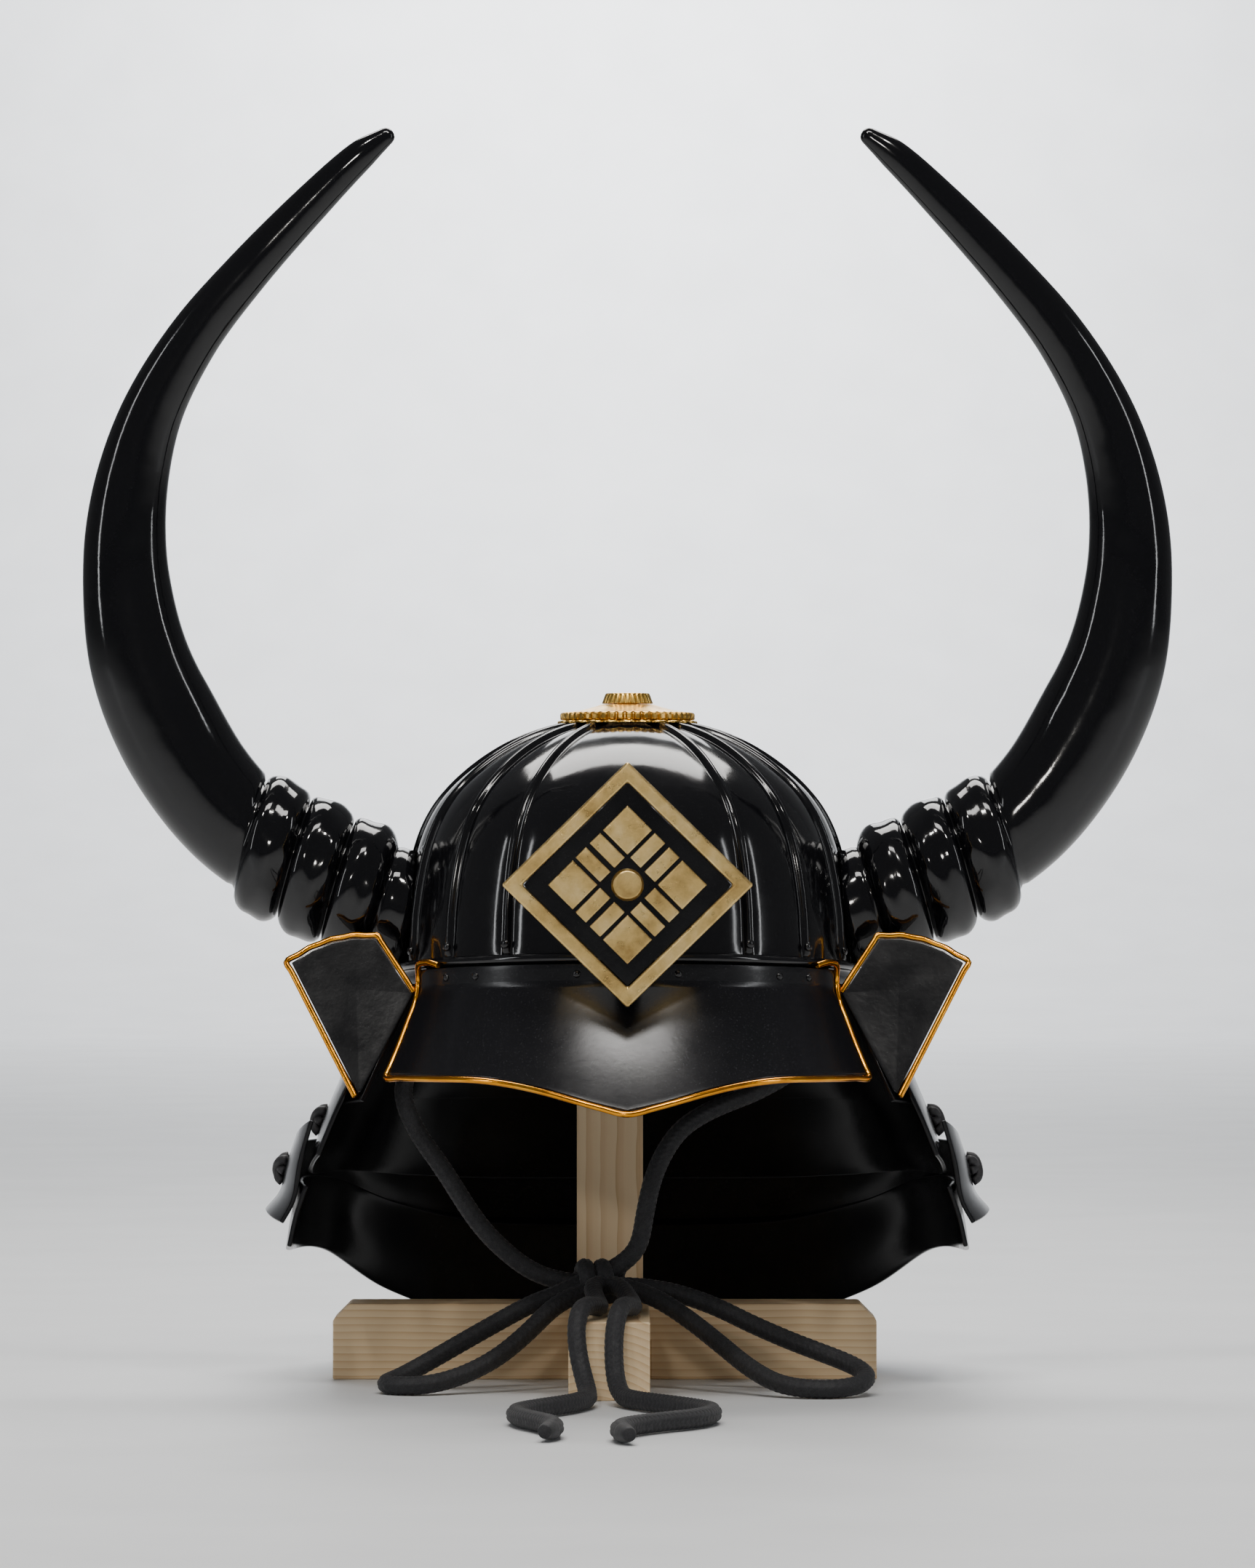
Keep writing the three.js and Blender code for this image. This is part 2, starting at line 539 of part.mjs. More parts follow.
// gold edges of the turned-back ends
for (const side of [-1, 1]) {
  const mid = { x: 130, z: 178 };
  const n = V(TURNBACK_PLANE.perX, -1, TURNBACK_PLANE.perZ).normalize();
  const pts = [];
  const push = (x, z) => pts.push(V(x, planeY(x, z), z).addScaledVector(n, -TURNBACK_T / 2));
  const T = TURNBACK;
  const outward = (p, q) => {
    const dx = q.x - p.x, dz = q.z - p.z, l = Math.hypot(dx, dz);
    let o = { x: -dz / l, z: dx / l };
    if ((p.x + q.x) / 2 * o.x + (p.z + q.z) / 2 * o.z < mid.x * o.x + mid.z * o.z) o = { x: -o.x, z: -o.z };
    return o;
  };
  const d = RIM_R + GAP + 0.25;
  for (let i = 0; i < T.length - 1; i++) {
    const o = outward(T[i], T[i + 1]);
    for (const f of i === 0 || i === T.length - 2 ? [0.03, 0.35, 0.65, 0.95] : [0.5]) push(T[i].x + f * (T[i + 1].x - T[i].x) + o.x * d, T[i].z + f * (T[i + 1].z - T[i].z) + o.z * d);
    if (i < T.length - 2) {
      const q = outward(T[i + 1], T[i + 2]);
      const bx = o.x + q.x, bz = o.z + q.z, k = (d * 2.15) / (bx * bx + bz * bz);
      push(T[i + 1].x + bx * k, T[i + 1].z + bz * k);
    }
  }
  add("turnback_rim_" + (side < 0 ? "left" : "right"), tube(pts.map((p) => V(side * p.x, p.y, p.z)), RIM_R, 6, 34, 0.3), GOLD);
}

// ---------------------------------------------------------------- horns
{
  const axis = new THREE.CatmullRomCurve3(HORN_AXIS.map((p) => V(p.x, p.y + HORN_Y, p.z)), false, "centripetal");
  const total = HORN_AXIS.length - 1;
  const width = (t) => column(HORN_AXIS.map((p, i) => ({ i, w: p.w })), "w", t * total, "i");
  const SIDES = 14;
  const ringsOf = (side) => {
    const rings = [];
    const stations = [];
    const fresh = (t) => {
      const p = axis.getPoint(t);
      return { p, t };
    };
    // the ringed foot: distance along its straight axis from the first ring
    const a = V(HORN_RINGS[0].x, HORN_Y, HORN_RINGS[0].z), c = V(HORN_RINGS[2].x, HORN_Y, HORN_RINGS[2].z);
    const dir = c.clone().sub(a).normalize();
    const pitch = c.distanceTo(a) / 2;
    const foot = [
      { s: -44, r: 29 }, { s: -14, r: 29 }, { s: -11.6, r: HORN_GROOVE_R },
    ];
    for (let k = 0; k < 3; k++) foot.push({ s: (k - 0.4) * pitch, r: 31.6 }, { s: (k - 0.2) * pitch, r: 33.9 }, { s: k * pitch, r: HORN_RING_R }, { s: (k + 0.2) * pitch, r: 33.9 }, { s: (k + 0.4) * pitch, r: 31.6 }, { s: (k + 0.5) * pitch, r: HORN_GROOVE_R });
    foot.forEach((f) => stations.push({ p: a.clone().addScaledVector(dir, f.s), tan: dir.clone(), ry: f.r * 0.97, rn: f.r, lean: 1 }));
    for (let k = 0; k <= 21; k++) {
      const t = (4.62 + (k / 21) * (total - 4.62)) / total;
      const p = axis.getPoint(t);
      const tan = axis.getTangent(t).normalize();
      const w = width(t) / 2;
      stations.push({ p, tan, ry: w * (k === 0 ? 0.95 : HORN_FLAT + 0.1 * Math.max(0, 1 - k / 5)), rn: k === 0 ? HORN_GROOVE_R + 1 : w, lean: Math.max(0, 1 - k / 5) });
    }
    for (const s of stations) {
      const yAxis = V(0, 1, 0).addScaledVector(s.tan, -s.tan.y).normalize();
      const nAxis = s.tan.clone().cross(yAxis).normalize().lerp(V(-Math.sin(HORN_TILT), 0, Math.cos(HORN_TILT)), s.lean).normalize();
      const ring = [];
      for (let j = 0; j < SIDES; j++) {
        const b = (j / SIDES) * 2 * Math.PI;
        const q = s.p.clone().addScaledVector(nAxis, s.rn * Math.cos(b)).addScaledVector(yAxis, s.ry * Math.sin(b));
        ring.push(V(side * q.x, q.y, q.z));
      }
      rings.push(ring);
    }
    return rings;
  };
  for (const side of [-1, 1]) {
    const solid = toSolid(loft(ringsOf(side))).subtract(bowlSpace).subtract(bandSpace);
    const bodies = solid.decompose().sort((p, q) => q.volume() - p.volume());
    add(side < 0 ? "horn_left" : "horn_right", fromSolid(bodies[0]), LACQUER);
  }
}

// ---------------------------------------------------------------- crown ornament
{
  const turned = (rows, steps) => new THREE.LatheGeometry([...rows, rows[0]].map((p) => new THREE.Vector2(p.r, p.z)), steps);
  // lobed plate that follows the bowl
  const N = CROWN_LOBES * 2;
  const grid = [], under = [];
  for (let i = 0; i < N; i++) {
    const a = (i / N) * 2 * Math.PI;
    const lobe = 1 - 0.045 * (0.5 - 0.5 * Math.cos(a * CROWN_LOBES));
    const line = [], low = [];
    for (const s of [{ r: 8, z: 320.9 }, { r: 22, z: 320.4 }, { r: CROWN_BASE_R, z: 317.8 }]) {
      const r = s.r > 25 ? s.r * lobe : s.r;
      line.push(V(r * Math.sin(a), -r * Math.cos(a) * 1.0, s.z));
      low.push(V(r * Math.sin(a), -r * Math.cos(a) * 1.0, s.z - 1.15));
    }
    grid.push(line);
    under.push(low);
  }
  let base = toSolid(wall(grid, under, true)).subtract(bowlSpace);
  base = base.decompose().sort((p, q) => q.volume() - p.volume())[0];
  add("crown_base_plate", fromSolid(base), GOLD);
  // toothed ring with a sloping top
  const gridR = [], innerR = [];
  const T = CROWN_TEETH * 2;
  for (let i = 0; i < T; i++) {
    const a = (i / T) * 2 * Math.PI;
    const at = (r, z) => V(r * Math.sin(a), -r * Math.cos(a), z);
    gridR.push(CROWN_RING.map((p) => at(p.r > 30 && i % 2 ? p.r - CROWN_TOOTH : p.r, p.z)));
    innerR.push(CROWN_RING.map((p) => at(CROWN_HOLE + 1.5, Math.max(p.z, 321.35))).map((p, k) => (k > 3 ? p.setZ(322.3 - (k - 3) * 0.3) : p)));
  }
  add("crown_toothed_ring", wall(gridR, innerR, true), GOLD);
  // fluted cap, open in the middle
  const cap = [], capIn = [];
  const F = 44;
  for (let i = 0; i < F; i++) {
    const a = (i / F) * 2 * Math.PI;
    const flute = i % 2 === 0 ? 0.55 : 0;
    cap.push([[CROWN_CAP_R - 1.9, 331.9], [CROWN_CAP_R - 1.4, 331.3], [CROWN_CAP_R, 326.8]].map(([r, z]) => V((r - flute) * Math.sin(a), -(r - flute) * Math.cos(a), z)));
    capIn.push([[CROWN_HOLE, 331.9], [CROWN_HOLE, 331.3], [CROWN_HOLE, 326.8]].map(([r, z]) => V(r * Math.sin(a), -r * Math.cos(a), z)));
  }
  add("crown_cap", wall(cap, capIn, true), GOLD);
}

// ---------------------------------------------------------------- crest
{
  const group = new THREE.Group();
  group.position.set(0, CREST_Y, CREST_Z);
  group.rotation.x = Math.PI / 2; // drawn flat, then stood up to face the front
  root.add(group);
  const rhombus = (w, h) => {
    const s = new THREE.Shape();
    s.moveTo(w, 0);
    s.lineTo(0, h);
    s.lineTo(-w, 0);
    s.lineTo(0, -h);
    s.closePath();
    return s;
  };
  const plate = (shape, t, bevel, z) => {
    const g = new THREE.ExtrudeGeometry(shape, { depth: t - bevel, bevelEnabled: bevel > 0, bevelThickness: bevel, bevelSize: bevel, bevelOffset: -bevel, bevelSegments: 1, steps: 1, curveSegments: 5 });
    // the bevel stays on the front only
    const p = g.attributes.position;
    for (let i = 0; i < p.count; i++) if (p.getZ(i) < 0) p.setZ(i, 0);
    g.translate(0, 0, z);
    return g;
  };
  const frame = rhombus(CREST_HALF_W, CREST_HALF_H);
  const hole = rhombus(CREST_HALF_W - CREST_BAR, CREST_HALF_H - CREST_BAR);
  frame.holes.push(new THREE.Path(hole.getPoints().reverse()));
  const frameGeometry = new THREE.ExtrudeGeometry(frame, { depth: CREST_T, bevelEnabled: false, steps: 1 });
  add("crest_frame", frameGeometry, BRASS, group);
  const inset = 0.6;
  add("crest_ground", new THREE.ExtrudeGeometry(rhombus(CREST_HALF_W - CREST_BAR - inset, CREST_HALF_H - CREST_BAR - inset), { depth: 2, bevelEnabled: false, steps: 1 }), LACQUER, group);
  // lattice of nine lozenges: the four by the tips whole, the four between them split, a round boss in the middle
  const cell = CREST_FIELD / 3;
  const groove = 1.15;
  const lozenge = (cx, cy, half) => {
    const s = new THREE.Shape();
    s.moveTo(cx + half, cy);
    s.lineTo(cx, cy + half);
    s.lineTo(cx - half, cy);
    s.lineTo(cx, cy - half);
    s.closePath();
    return s;
  };
  const tri = (points) => {
    const s = new THREE.Shape();
    points.forEach(([x, y], i) => (i ? s.lineTo(x, y) : s.moveTo(x, y)));
    s.closePath();
    return s;
  };
  const h = cell - groove;
  const top = 2 * cell;
  for (const [name, cx, cy] of [["top", 0, top], ["bottom", 0, -top], ["left", -top, 0], ["right", top, 0]]) add("crest_tile_" + name, plate(lozenge(cx, cy, h), TILE_T, 0.45, 2 + GAP), BRASS, group);
  for (const [name, sx, sy] of [["upper_right", 1, 1], ["upper_left", -1, 1], ["lower_left", -1, -1], ["lower_right", 1, -1]]) {
    const cx = sx * cell, cy = sy * cell;
    // split along the line that runs out from the middle of the crest
    const g = groove * 0.72;
    const far = [cx + sx * h / 2, cy + sy * h / 2], near = [cx - sx * h / 2, cy - sy * h / 2];
    const side = (k) => {
      // k = 1: half towards the top or bottom tip, k = -1: half towards the left or right tip
      const dx = k > 0 ? -sx * g : sx * g, dy = k > 0 ? sy * g : -sy * g;
      const tipA = k > 0 ? [cx, cy + sy * h] : [cx + sx * h, cy];
      const tipB = k > 0 ? [cx - sx * h, cy] : [cx, cy - sy * h];
      const f = k > 0 ? [far[0] + dx, far[1] + dy] : [far[0] + dx, far[1] + dy];
      const n = k > 0 ? [near[0] + dx, near[1] + dy] : [near[0] + dx, near[1] + dy];
      return tri([f, tipA, tipB, n]);
    };
    add("crest_tile_" + name + "_a", plate(side(1), TILE_T, 0.4, 2 + GAP), BRASS, group);
    add("crest_tile_" + name + "_b", plate(side(-1), TILE_T, 0.4, 2 + GAP), BRASS, group);
  }
  const boss = new THREE.CylinderGeometry(cell * 0.5, cell * 0.62, 2.2, 24);
  boss.rotateX(Math.PI / 2);
  boss.translate(0, 0, 2 + GAP + 1.1);
  add("crest_boss", boss, BRASS, group);
}
{
  // plain bracket between the bowl's front and the crest
  const block = new THREE.BoxGeometry(16, 40, 26);
  block.translate(0, CREST_Y + GAP + 20, 222.5);
  const solid = toSolid(block).subtract(bowlSpace);
  const bodies = solid.decompose().sort((p, q) => p.boundingBox().min[1] - q.boundingBox().min[1]);
  add("crest_bracket", fromSolid(bodies[0]), LACQUER);
}

// ---------------------------------------------------------------- stand
const boxAt = (x0, x1, y0, y1, z0, z1) => {
  const g = new THREE.BoxGeometry(x1 - x0, y1 - y0, z1 - z0);
  g.translate((x0 + x1) / 2, (y0 + y1) / 2, (z0 + z1) / 2);
  return g;
};
{
  const half = BAR_H / 2;
  let bar = toSolid(boxAt(STAND_X - BAR_W / 2, STAND_X + BAR_W / 2, BAR_FRONT, BAR_BACK, 0, BAR_H));
  bar = bar.subtract(toSolid(boxAt(STAND_X - BAR_W, STAND_X + BAR_W, -GAP, PLANK_T + GAP, half - GAP / 2, BAR_H + 5)));
  add("stand_front_bar", fromSolid(bar), WOOD);
  const s = new THREE.Shape();
  s.moveTo(-PLANK_HALF, 0);
  s.lineTo(PLANK_HALF, 0);
  s.lineTo(PLANK_HALF, BAR_H - PLANK_CHAMFER);
  s.lineTo(PLANK_HALF - PLANK_CHAMFER, BAR_H);
  s.lineTo(-PLANK_HALF + PLANK_CHAMFER, BAR_H);
  s.lineTo(-PLANK_HALF, BAR_H - PLANK_CHAMFER);
  s.closePath();
  const g = new THREE.ExtrudeGeometry(s, { depth: PLANK_T, bevelEnabled: false, steps: 1 });
  g.rotateX(Math.PI / 2);
  g.translate(PLANK_X, PLANK_T, 0);
  const plank = toSolid(g).subtract(toSolid(boxAt(STAND_X - BAR_W / 2 - GAP, STAND_X + BAR_W / 2 + GAP, -5, PLANK_T + 5, -5, half + GAP / 2)));
  add("stand_cross_bar", fromSolid(plank), WOOD);
  add("stand_post", boxAt(STAND_X - POST / 2, STAND_X + POST / 2, POST_Y - POST / 2, POST_Y + POST / 2, BAR_H + GAP, POST_TOP), WOOD);
  const head = new THREE.LatheGeometry(
    [
      { r: 0, z: 312.2 }, { r: 18, z: 311.2 }, { r: 34, z: 307.4 }, { r: 46, z: 302.2 }, { r: 52, z: 298.4 }, { r: 53, z: 295.5 }, { r: 50, z: 288 }, { r: 46, z: POST_TOP + GAP }, { r: 0, z: POST_TOP + GAP },
    ].reverse().map((p) => new THREE.Vector2(p.r, p.z)),
    28,
  );
  head.rotateX(Math.PI / 2);
  head.translate(0, 0, 0);
  add("stand_head", head, WOOD);
}

// ---------------------------------------------------------------- chin cord, tied in a bow
const KNOT = V(-13, -47, 50.5);
{
  const knot = new THREE.SphereGeometry(1, 12, 8);
  knot.scale(21, 12.5, 9.5);
  knot.translate(KNOT.x, KNOT.y, KNOT.z);
  add("chin_knot", knot, CORD);
  const anchor = (side) => {
    const g = new THREE.CylinderGeometry(6.2, 6.2, 13, 12);
    g.rotateX(Math.PI / 2);
    g.translate(side * 92.2, -40, 193);
    return g;
  };
  add("cord_anchor_left", anchor(-1), SATIN);
  add("cord_anchor_right", anchor(1), SATIN);
}
const ROUTES = {
  chin_strap_left: [
    [-92.2, -40, 185.7], [-92.6, -40, 175], [-102.5, -42, 155], [-107.5, -44, 141], [-101, -45, 123], [-88, -46, 104], [-69.4, -47, 76], [-54.5, -47, 61.5], [-44, -47, 54.5], [-35.8, -47, 51.6],
  ],
  chin_strap_right: [
    [92.2, -40, 185.7], [91.8, -40, 175], [82, -41, 154], [63, -42, 141.5], [40, -43, 132], [24.7, -44, 122], [13.4, -45, 103], [8.2, -46, 82], [5.4, -47, 67], [1.0, -47, 61.6],
  ],
  bow_loop_left: [
    [-33.6, -53.5, 44.5], [-45, -56, 40.5], [-62, -57, 31.5], [-80, -61, 21.5], [-96, -66, 12.6], [-107, -72.5, 7], [-113.8, -81.5, 4.75], [-113, -91.5, 4.6], [-105, -98, 4.65], [-94, -97.5, 5.1], [-78, -89.5, 8.8], [-61, -80, 17.0], [-46, -71.5, 29], [-35.5, -65, 39], [-27.5, -60.6, 43.6],
  ],
  bow_loop_right: [
    [9.2, -49, 47.5], [24, -53, 45], [42, -57, 39], [58, -61, 31.5], [76, -67, 24], [93, -75, 18], [106, -84, 13.4], [112.5, -94, 9.6], [110.5, -105, 6.6], [101, -115, 4.9], [88, -118, 4.6], [72, -110, 6.2], [58, -96, 12.5], [45, -82, 22], [30, -70, 33.2], [16, -62, 42], [6.2, -57, 46],
  ],
  cord_tail_left: [
    [-16.5, -60.6, 49.6], [-15.5, -74, 45.4], [-13.5, -89, 42.2], [-13.5, -104, 41.9], [-17.5, -118, 43.6], [-21.5, -129.5, 43.2], [-23.8, -137.5, 35.5], [-22.8, -143.5, 23], [-20, -150.5, 11.6], [-18, -163, 5.4], [-20, -182, 4.9], [-27, -204, 4.9], [-38, -224, 4.9], [-47, -243, 4.9], [-50, -263, 4.9], [-46, -283, 4.9], [-39, -301, 4.9], [-33, -318, 4.9], [-32, -336, 4.9], [-36, -353, 4.9],
  ],
  cord_tail_right: [
    [-4.6, -60.4, 49.6], [-0.5, -73, 45.6], [2.4, -89, 42.2], [2.2, -104, 41.9], [-0.6, -118, 43.6], [-3.6, -129.5, 43.2], [-5.8, -137.5, 35.5], [-6.4, -143.5, 24], [-5.5, -150.5, 12], [-2.6, -163, 5.4], [4, -182, 4.9], [15, -202, 4.9], [28, -222, 4.9], [37, -243, 4.9], [37, -265, 4.9], [28, -286, 4.9], [14, -303, 4.9], [2, -321, 4.9], [-3, -336, 4.9], [-3, -352, 4.9], [1, -368, 4.9],
  ],
};
for (const [name, route] of Object.entries(ROUTES)) {
  const points = route.map(([x, y, z]) => V(x, y, z));
  const length = new THREE.CatmullRomCurve3(points, false, "centripetal").getLength();
  add(name, tube(points, CORD_R, 8, Math.round(length / 15)), CORD);
}

export default root;
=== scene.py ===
import math
import bpy
import bmesh
import numpy as np
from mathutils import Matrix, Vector


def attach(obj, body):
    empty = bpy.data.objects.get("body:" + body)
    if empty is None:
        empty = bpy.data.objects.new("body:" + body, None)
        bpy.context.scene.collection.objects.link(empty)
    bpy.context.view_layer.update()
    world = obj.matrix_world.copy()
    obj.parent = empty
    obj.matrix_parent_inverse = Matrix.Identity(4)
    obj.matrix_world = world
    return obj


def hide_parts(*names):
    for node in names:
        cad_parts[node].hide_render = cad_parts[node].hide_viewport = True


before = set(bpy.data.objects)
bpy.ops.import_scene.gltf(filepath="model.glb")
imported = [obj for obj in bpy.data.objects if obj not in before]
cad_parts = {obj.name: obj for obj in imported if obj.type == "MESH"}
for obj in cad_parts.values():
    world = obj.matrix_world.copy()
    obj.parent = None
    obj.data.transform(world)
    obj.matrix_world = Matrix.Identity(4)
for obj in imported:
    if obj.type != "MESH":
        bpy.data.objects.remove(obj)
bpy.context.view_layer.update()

# ------------------------------------------------------------------ sizes, in millimetres as in the part's source
GAP = 0.35
CENTRE_Y = -7.2
DEPTH_RATIO = 1.09
BOWL_WALL = 2.2
BEAD_Z = 198.0
BEAD_SLOPE = 0.067
SKIRT = 9.5
RIDGE_H = 2.4
RIDGE_HALF_W = 2.2
RIDGE_ANGLES = [31.5, 51, 70.5, 90, 109.5, 129, 148.5]
BOWL_PROFILE = [(318.6, 9), (317.4, 20), (314.8, 33), (310.2, 48), (303.6, 62), (294.6, 75.5), (284.0, 87), (272.0, 95.2), (258.0, 100.8), (240.0, 104.8), (220.0, 107.4), (203.0, 108.6)]
VISOR_HALF_ANGLE = 60.0
VISOR_T = 2.0
VISOR_TOP_OUT = 4.8
VISOR_FLANGE = 9.5
VISOR_TURN = 0.56
VISOR_AT = [0, 6, 12, 18, 25, 32, 40, 50, 60]
VISOR_REACH, VISOR_DEEP = 41.4, 57.3
VISOR_TOP_SLOPE, VISOR_END_SLOPE, VISOR_SIDE_FLARE = 1.75, 1.1, 0.14
VISOR_Z = [136.4, 139.6, 143.4, 146.9, 149.7, 151.1, 151.2, 150.9, 150.7]
RIM_R = 1.5
PLATE_T = 2.2
PLATE_BACK_N = 2.3
# half, back, n, edge, heights at the front edge and at 90, 115, 135, 155, 180 degrees
PLATES = {
    "neck_plate_1": [(113.9, 123.6, 2.0, -53, [189, 192, 190, 187.6, 185.6, 185]), (127.5, 133.2, 2.3, -67.5, [163, 162.5, 161, 159.5, 158.5, 158]), (139.0, 141.0, 2.6, -79, [138, 134, 133, 132.4, 132, 132])],
    "neck_plate_2": [(136.8, 141.2, 2.5, -66.5, [155, 150, 149, 148, 146.5, 146]), (146.6, 150.4, 2.6, -69.5, [133, 125, 123.5, 121, 119, 118]), (153.6, 157.6, 2.75, -70, [112, 100, 98, 94, 91, 90])],
    "neck_plate_3": [(160.0, 161.2, 2.2, -62, [128, 117, 114, 110, 106, 104]), (164.6, 168.4, 2.2, -61, [108, 104, 101, 91, 82, 78]), (167.8, 173.6, 2.15, -60, [90, 92, 88, 72, 59, 54]), (175.0, 181.0, 2.0, -60, [79.5, 83, 79, 63, 50, 45])],
    "neck_plate_4": [(158.0, 163.0, 2.6, -60, [97, 98, 94, 80, 69, 66]), (161.8, 168.6, 2.8, -60, [82, 80, 76, 58, 44.5, 40]), (164.0, 172.0, 3.0, -60, [68, 63, 58, 35.5, 19.5, 14])],
}
TURNBACK = [(103.4, 188.6), (120.2, 213.6), (130.6, 213.9), (140.7, 212.0), (151.0, 208.0), (160.0, 202.4), (127.4, 141.5)]
TURN_Y0, TURN_X, TURN_Z = -143.6, 0.0402, 0.4316
TURNBACK_T = 2.0
HORN_Y = -5.0
HORN_FLAT = 0.82
HORN_RINGS = [(129.4, 236.6), (171.6, 257.0)]
HORN_TILT = 16.5
HORN_RING_R = 34.5
HORN_GROOVE_R = 27.5
HORN_AXIS = [(88, 0, 216.5, 58), (110, 0, 227.5, 58), (129.4, 0, 236.8, 60), (150.8, 0, 246.6, 60), (171.6, 0, 257.6, 60), (188.5, 0, 270.6, 58.5), (204.0, -1, 287.4, 56.5), (221.7, -3, 315.5, 54), (235.2, -6, 348.0, 49), (241.3, -9, 385.0, 42.5), (241.3, -12, 413.0, 38.5), (236.5, -15, 442.0, 34), (227.0, -18, 470.0, 29.4), (208.0, -21, 502.6, 25.4), (183.0, -24, 533.0, 22), (151.0, -26, 567.0, 18.4), (127.5, -28, 589.5, 14.6), (115.0, -29, 598.6, 8.4)]
CORD_R = 4.25
DEG = math.pi / 180


# ------------------------------------------------------------------ small tools
def column(at, values, t):
    """Smooth curve through a table's rows."""
    n = len(at)
    i = 0
    while i < n - 2 and t > at[i + 1]:
        i += 1
    span = at[i + 1] - at[i]
    f = min(1.0, max(0.0, (t - at[i]) / span))
    b, c = values[i], values[i + 1]
    mb = (c - b) / span if i == 0 else (c - values[i - 1]) / (at[i + 1] - at[i - 1])
    mc = (c - b) / span if i + 2 >= n else (values[i + 2] - b) / (at[i + 2] - at[i])
    f2, f3 = f * f, f * f * f
    return (2 * f3 - 3 * f2 + 1) * b + (f3 - 2 * f2 + f) * span * mb + (-2 * f3 + 3 * f2) * c + (f3 - f2) * span * mc


def spline(points, per=12):
    """Centripetal curve through points, per samples a segment."""
    p = np.array(points, float)
    ext = np.vstack([2 * p[0] - p[1], p, 2 * p[-1] - p[-2]])
    out = []
    for i in range(len(p) - 1):
        p0, p1, p2, p3 = ext[i : i + 4]
        t0 = 0.0
        t1 = t0 + max(1e-6, np.linalg.norm(p1 - p0)) ** 0.5
        t2 = t1 + max(1e-6, np.linalg.norm(p2 - p1)) ** 0.5
        t3 = t2 + max(1e-6, np.linalg.norm(p3 - p2)) ** 0.5
        for k in range(per + (i == len(p) - 2)):
            t = t1 + (t2 - t1) * k / per
            a1 = (t1 - t) / (t1 - t0) * p0 + (t - t0) / (t1 - t0) * p1
            a2 = (t2 - t) / (t2 - t1) * p1 + (t - t1) / (t2 - t1) * p2
            a3 = (t3 - t) / (t3 - t2) * p2 + (t - t2) / (t3 - t2) * p3
            b1 = (t2 - t) / (t2 - t0) * a1 + (t - t0) / (t2 - t0) * a2
            b2 = (t3 - t) / (t3 - t1) * a2 + (t - t1) / (t3 - t1) * a3
            out.append((t2 - t) / (t2 - t1) * b1 + (t - t1) / (t2 - t1) * b2)
    return np.array(out)


def resample(path, step):
    d = np.concatenate([[0], np.cumsum(np.linalg.norm(np.diff(path, axis=0), axis=1))])
    n = max(2, int(round(d[-1] / step)) + 1)
    s = np.linspace(0, d[-1], n)
    return np.stack([np.interp(s, d, path[:, k]) for k in range(3)], 1), s


def tube_mesh(path, radius, sides, lift=None):
    """Rings along a path, carried without twist. lift(s, angle) is added to the radius."""
    path = np.asarray(path, float)
    n = len(path)
    tan = np.gradient(path, axis=0)
    tan /= np.linalg.norm(tan, axis=1)[:, None]
    s = np.concatenate([[0], np.cumsum(np.linalg.norm(np.diff(path, axis=0), axis=1))])
    a = np.cross(tan[0], [0.13, 0.21, 0.97])
    a /= np.linalg.norm(a)
    ang = np.arange(sides) / sides * 2 * math.pi
    rad = np.full(n, float(radius)) if np.isscalar(radius) else np.asarray(radius, float)
    rings = np.empty((n, sides, 3))
    for i in range(n):
        a = a - tan[i] * a.dot(tan[i])
        a /= np.linalg.norm(a)
        b = np.cross(tan[i], a)
        r = rad[i] + (lift(s[i], ang) if lift else 0)
        rings[i] = path[i] + (np.cos(ang) * r)[:, None] * a + (np.sin(ang) * r)[:, None] * b
    return ring_faces(rings)


def ring_faces(rings, caps=True):
    n, m = rings.shape[:2]
    verts = rings.reshape(-1, 3)
    i, j = np.meshgrid(np.arange(n - 1), np.arange(m), indexing="ij")
    i, j = i.ravel(), j.ravel()
    k = (j + 1) % m
    faces = np.stack([i * m + j, i * m + k, (i + 1) * m + k, (i + 1) * m + j], 1).tolist()
    if caps:
        faces.append(list(range(m))[::-1])
        faces.append([(n - 1) * m + q for q in range(m)])
    return verts, faces


def wall_faces(outer, inner, wrapped):
    nu, nv = outer.shape[:2]
    verts = np.vstack([outer.reshape(-1, 3), inner.reshape(-1, 3)])
    o = lambda i, j: (i % nu) * nv + j
    n = lambda i, j: nu * nv + (i % nu) * nv + j
    faces = []
    for i in range(nu if wrapped else nu - 1):
        for j in range(nv - 1):
            faces.append([o(i, j), o(i + 1, j), o(i + 1, j + 1), o(i, j + 1)])
            faces.append([n(i, j), n(i, j + 1), n(i + 1, j + 1), n(i + 1, j)])
        faces.append([o(i, 0), n(i, 0), n(i + 1, 0), o(i + 1, 0)])
        faces.append([o(i, nv - 1), o(i + 1, nv - 1), n(i + 1, nv - 1), n(i, nv - 1)])
    if not wrapped:
        for j in range(nv - 1):
            faces.append([o(0, j), o(0, j + 1), n(0, j + 1), n(0, j)])
            faces.append([o(nu - 1, j), n(nu - 1, j), n(nu - 1, j + 1), o(nu - 1, j + 1)])
    return verts, faces


def grid_normals(grid, inside, wrapped=False):
    if wrapped:
        du = np.roll(grid, -1, 0) - np.roll(grid, 1, 0)
    else:
        du = np.gradient(grid, axis=0)
    dv = np.gradient(grid, axis=1)
    n = np.cross(du, dv)
    n /= np.maximum(1e-9, np.linalg.norm(n, axis=2))[..., None]
    flip = (n * (grid - np.array(inside, float))).sum(2) < 0
    n[flip] *= -1
    return n


